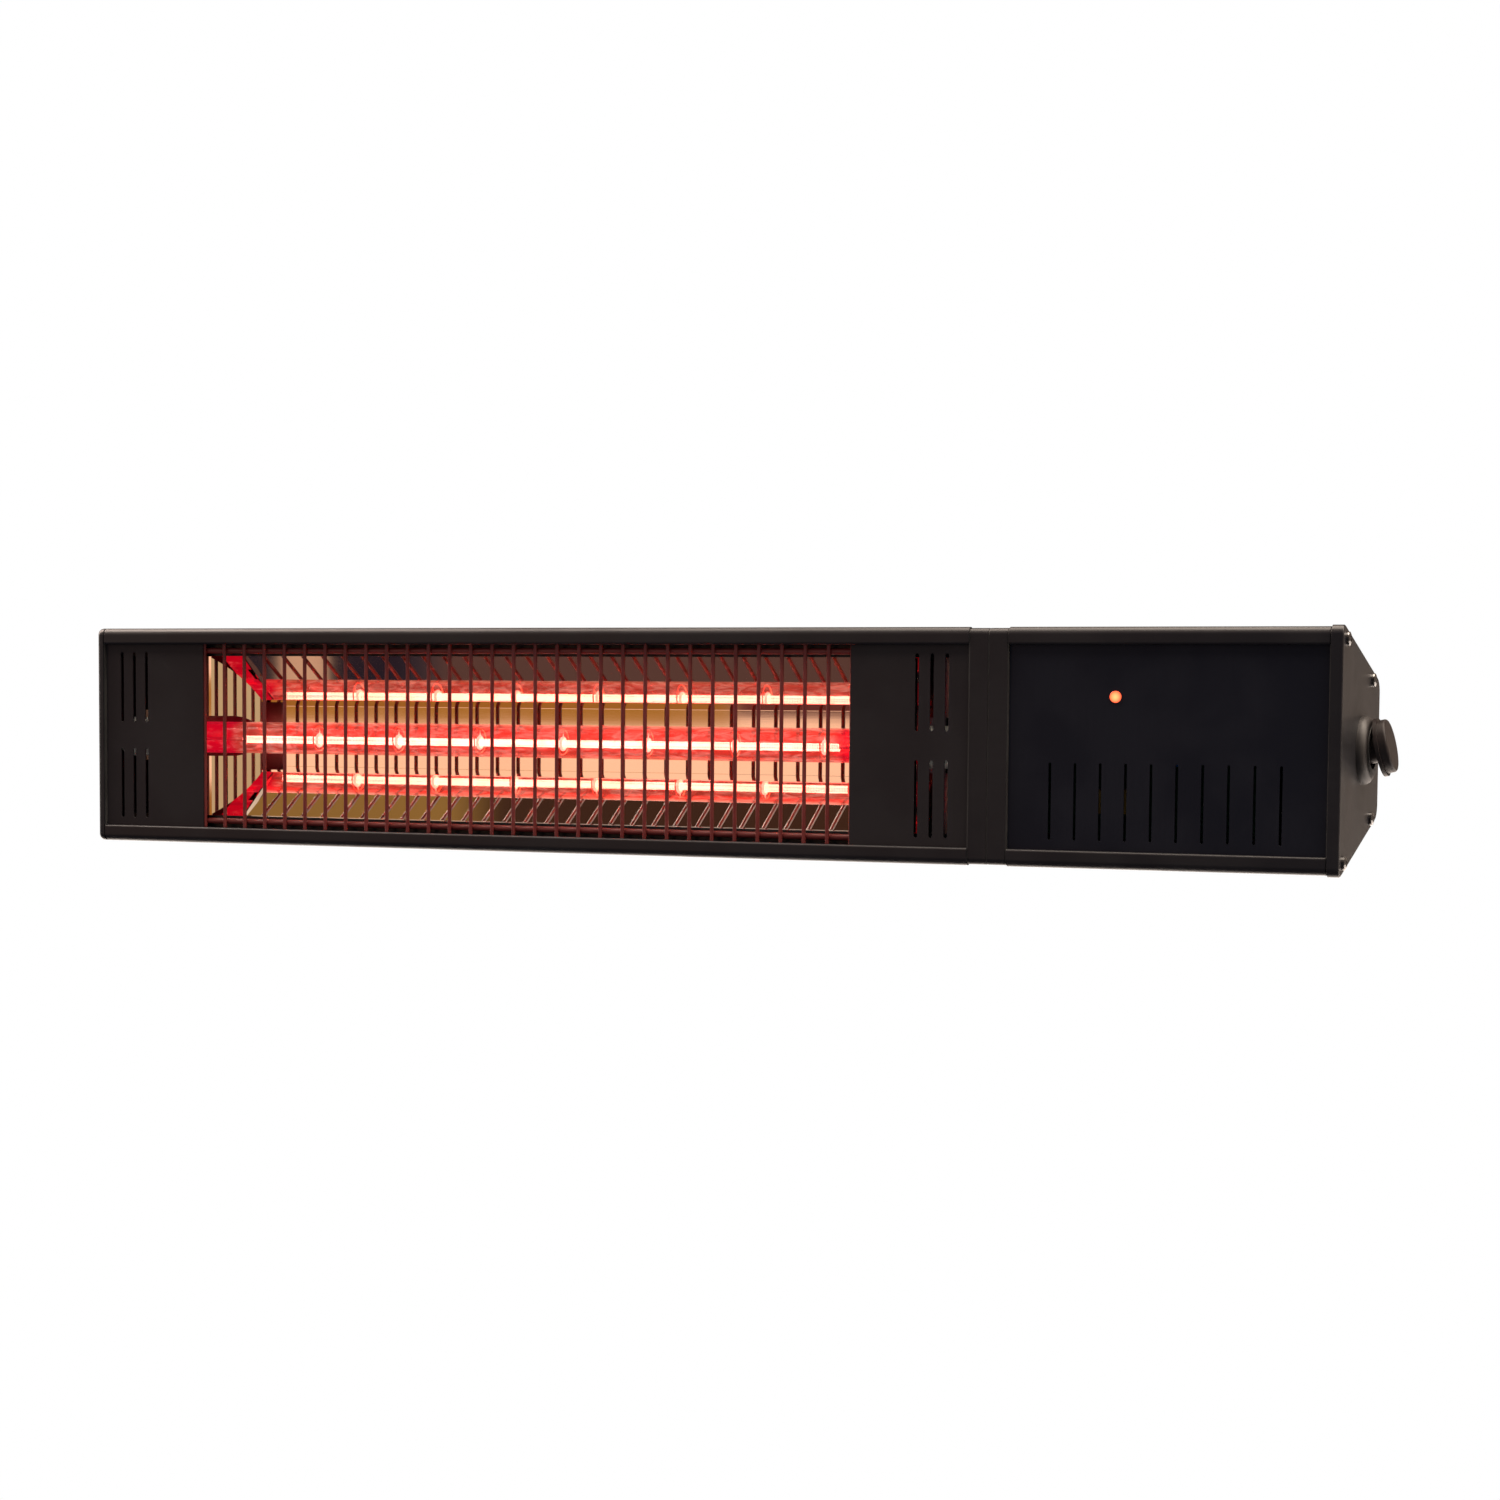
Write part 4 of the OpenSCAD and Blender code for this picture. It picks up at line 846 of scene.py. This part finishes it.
# %% The supports' fading heat
fading, given = new_group(
    "fading_heat",
    (
        ("Hot", "Color", (1.0, 0.80, 0.62, 1)),
        ("Cool", "Color", (0.10, 0.006, 0.006, 1)),
        ("Axis", "Vector", (0, 0, 0)),
        ("Across", "Vector", (0, 1, 1)),
        ("Hot Within", "Float", 0.003),
        ("Cool Beyond", "Float", 0.006),
    ),
    (("Colour", "Color"),),
)
off_axis = vectors(fading, "SUBTRACT", own_place(fading), given["Axis"])
across = vectors(fading, "MULTIPLY", off_axis, given["Across"])
away = wire(fading, "ShaderNodeVectorMath", {0: across}, operation="LENGTH").outputs["Value"]
cooled = ramped(fading, away, given["Hot Within"], given["Cool Beyond"])
wire(fading, "NodeGroupOutput", {"Colour": mixed(fading, cooled, given["Hot"], given["Cool"])})


def fade(material, inputs):
    """Lets the material's light fade away from an axis."""
    tree = material.node_tree
    heat = wire(tree, "ShaderNodeGroup", inputs, node_tree=fading)
    tree.links.new(heat.outputs["Colour"], tree.nodes["Principled BSDF"].inputs["Emission Color"])


glowing("support_glow", (1.0, 0.72, 0.45), (1.0, 0.50, 0.25), 5.0, 120)
fade(finishes["support_glow"], {"Axis": (0, coil_y, coil_z)})
lens_low, lens_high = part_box("indicator_lens")
fade(
    finishes["amber_lens"],
    {
        "Hot": (1.0, 0.36, 0.13, 1),
        "Cool": (0.42, 0.010, 0.006, 1),
        "Axis": (lens_low + lens_high) / 2,
        "Across": (1, 0, 1),
        "Hot Within": 0.1 * MM,
        "Cool Beyond": (lens_high.x - lens_low.x) / 2,
    },
)
print("fading heat:", len(fading.nodes), "nodes")

# %% [markdown]
# The socket screws in the end caps are black like the brackets but freshly turned: their
# heads are glossy enough to catch small bright specks of the room.

# %% Glossy black screws
finish(
    "glossy_black", (0.010, 0.0095, 0.0095), (0.016, 0.015, 0.014), (0.20, 0.18, 0.16),
    1800, patches=90, scuffs=0.15, rough=0.16, spread=0.1, bump=0.15, specular=1.0, coat=0.6,
)
print("finishes:", len(finishes))

# %% [markdown]
# ## Dressing every part
# Each CAD part and each new piece names its slot in the model's list of materials, so one
# loop can dress them all.

# %% Give every part its finish
def dress(piece, material):
    """Leaves the piece with this material alone."""
    piece.data.materials.clear()
    piece.data.materials.append(material)


def redress(piece, material):
    """Puts the material in each of the piece's slots, or in a new one."""
    if not piece.data.materials:
        piece.data.materials.append(material)
    for index in range(len(piece.data.materials)):
        piece.data.materials[index] = material


for node, piece in NODES.items():
    redress(piece, finishes[SLOT_OF[node]])
for name, slot in new_pieces.items():
    dress(bpy.data.objects[name], finishes[slot])
dress(bpy.data.objects["coil_supports"], finishes["support_glow"])
for node in ("left_cap_screws", "right_cap_screws"):
    redress(NODES[node], finishes["glossy_black"])
print("dressed", len(NODES), "parts and", len(new_pieces), "new pieces")

# %% [markdown]
# ## The studio
# A mirror shows whatever stands round it, so the studio matters as much as the metal. The
# room is described by directions, with X as the axis: how far a direction leans sideways
# towards X, and how far it is lifted from straight ahead. Soft-edged panels of colour are
# laid over each other in those two angles, like coloured cards round a product table.

# %% A soft panel of the room
panel_group, given = new_group(
    "room_panel",
    [(name, "Color", None) for name in ("Under", "Panel")]
    + [
        (name, "Float", None)
        for name in ("Side", "Lift", "Side From", "Side To", "Lift From", "Lift To", "Soft")
    ],
    (("Colour", "Color"),),
)


def between(tree, value, low, high, soft):
    """1 between low and high, with soft edges."""
    rising = maths(tree, "DIVIDE", maths(tree, "SUBTRACT", value, low), soft)
    falling = maths(tree, "DIVIDE", maths(tree, "SUBTRACT", high, value), soft)
    both = maths(tree, "ADD", maths(tree, "MINIMUM", rising, falling), 0.5)
    return wire(tree, "ShaderNodeClamp", {"Value": both}).outputs[0]


inside = maths(
    panel_group,
    "MULTIPLY",
    between(panel_group, given["Side"], given["Side From"], given["Side To"], given["Soft"]),
    between(panel_group, given["Lift"], given["Lift From"], given["Lift To"], given["Soft"]),
)
laid = mixed(panel_group, inside, given["Under"], given["Panel"])
wire(panel_group, "NodeGroupOutput", {"Colour": laid})
print("room panel:", len(panel_group.nodes), "nodes")

# %% Lay the panels round the room
world = bpy.data.worlds.new("studio")
bpy.context.scene.world = world
world.use_nodes = True
tree = world.node_tree
tree.nodes.clear()
toward = wire(tree, "ShaderNodeTexCoord").outputs["Generated"]
parts = wire(tree, "ShaderNodeSeparateXYZ", {0: toward}).outputs
DEGREES = math.degrees(1)
ahead = maths(tree, "MULTIPLY", parts[1], -1.0)
side = maths(tree, "MULTIPLY", maths(tree, "ARCSINE", parts[0]), DEGREES)
lift = maths(tree, "MULTIPLY", maths(tree, "ARCTAN2", parts[2], ahead), DEGREES)
PANELS = (
    ("dark room ahead", -95, 95, -95, 75, 3, (0.040, 0.034, 0.044)),
    ("beige wall ahead", -37, -19.9, -33, 33, 1, (1.145, 0.60, 0.38)),
    ("dark floor ahead", -28.5, 95, -95, -33, 1, (0.100, 0.045, 0.036)),
    ("darker floor on the left", -95, -28.5, -95, -33, 1, (0.020, 0.012, 0.018)),
    ("pale post on the floor", -31.2, -30.3, -80, -45, 0.2, (0.60, 0.32, 0.20)),
    ("dark ceiling ahead", -28, 95, 33, 75, 1, (0.050, 0.020, 0.012)),
    ("golden curtain, low", -34, -22.6, -33, -2, 0.2, (0.36, 0.125, 0.022)),
    ("golden curtain", -34, -22.6, -0.59, 0.4, 0.1, (0.40, 0.15, 0.022)),
    ("dark corner, low", -22.6, -19.9, -33, -2, 0.2, (0.13, 0.030, 0.024)),
    ("dark corner", -22.6, -19.9, -0.41, 0.4, 0.1, (0.09, 0.022, 0.020)),
    ("golden curtain above", -95, -27.5, 33, 75, 1, (0.27, 0.135, 0.036)),
    ("pale side wall", 45, 95, -60, 60, 4, (0.54, 0.35, 0.19)),
    ("warm upper wall", -95, 95, 33, 50, 3, (1.25, 0.92, 0.72)),
    ("bright ceiling", -70, 70, 64, 116, 10, (2.0, 1.66, 1.42)),
    ("brighter ceiling on the left", -95, -32, 64, 116, 5, (19.0, 15.4, 13.4)),
    ("brighter ceiling on the right", -18.5, 70, 64, 116, 4, (11.5, 9.6, 7.9)),
)
room = (0.30, 0.23, 0.18, 1.0)
for label, side_from, side_to, lift_from, lift_to, soft, tint in PANELS:
    room = wire(
        tree,
        "ShaderNodeGroup",
        {
            "Under": room, "Panel": rgba(tint), "Side": side, "Lift": lift,
            "Side From": side_from, "Side To": side_to,
            "Lift From": lift_from, "Lift To": lift_to, "Soft": soft,
        },
        node_tree=panel_group,
        label=label,
    ).outputs["Colour"]
rays = wire(tree, "ShaderNodeLightPath").outputs


def light(colour, strength):
    """A background of one colour, or of the room's colours."""
    return wire(tree, "ShaderNodeBackground", {"Color": colour, "Strength": strength}).outputs[0]


def chosen(share, one, other):
    """The first light where the share is 0, and the other where it is 1."""
    return wire(tree, "ShaderNodeMixShader", {0: share, 1: one, 2: other}).outputs[0]


lit = chosen(rays["Is Diffuse Ray"], light(room, 1.0), light((0.92, 0.95, 1.0, 1), 0.75))
seen = chosen(rays["Is Camera Ray"], lit, light((1, 1, 1, 1), 1.0))
wire(tree, "ShaderNodeOutputWorld", {"Surface": seen})
print("room panels:", [p[0] for p in PANELS])

# %% [markdown]
# One large soft lamp hangs overhead. It draws the bright line along the top rail's rounded
# edge, as a ceiling softbox does. The pale floor lies well below and behind the heater.

# %% The overhead lamp and the floor
overhead = bpy.data.lights.new("overhead_softbox", "AREA")
overhead.shape = "RECTANGLE"
overhead.size, overhead.size_y = 3.4, 1.4
overhead.energy = 14.0
overhead.color = (1.0, 0.93, 0.86)
lamp = bpy.data.objects.new("overhead_softbox", overhead)
lamp.location = (0.0, -0.1, 1.5)
bpy.context.scene.collection.objects.link(lamp)

bpy.ops.mesh.primitive_plane_add(size=1, location=(0, 3.0, -1.0))
floor = bpy.context.active_object
floor.name = "floor"
floor.scale = (12, 6, 1)
set_down(floor)
paper, tree, shader = new_material("floor_paper")
shader.inputs["Roughness"].default_value = 0.8
fibres = noise(tree, own_place(tree), 400.0, 3.0)
pulp = mixed(tree, fibres, (0.84, 0.84, 0.84, 1), (0.9, 0.9, 0.9, 1))
tree.links.new(pulp, shader.inputs["Base Color"])
glow = wire(tree, "ShaderNodeEmission", {"Color": (1, 1, 1, 1), "Strength": 1.0})
eye = wire(tree, "ShaderNodeLightPath").outputs["Is Camera Ray"]
shown = wire(tree, "ShaderNodeMixShader", {0: eye, 1: shader.outputs[0], 2: glow.outputs[0]})
tree.links.new(shown.outputs[0], tree.nodes["Material Output"].inputs["Surface"])
dress(floor, paper)
bpy.context.scene.view_settings.view_transform = "Standard"
print("lamp", overhead.energy, "W; floor at", round(floor.data.vertices[0].co.z, 2))
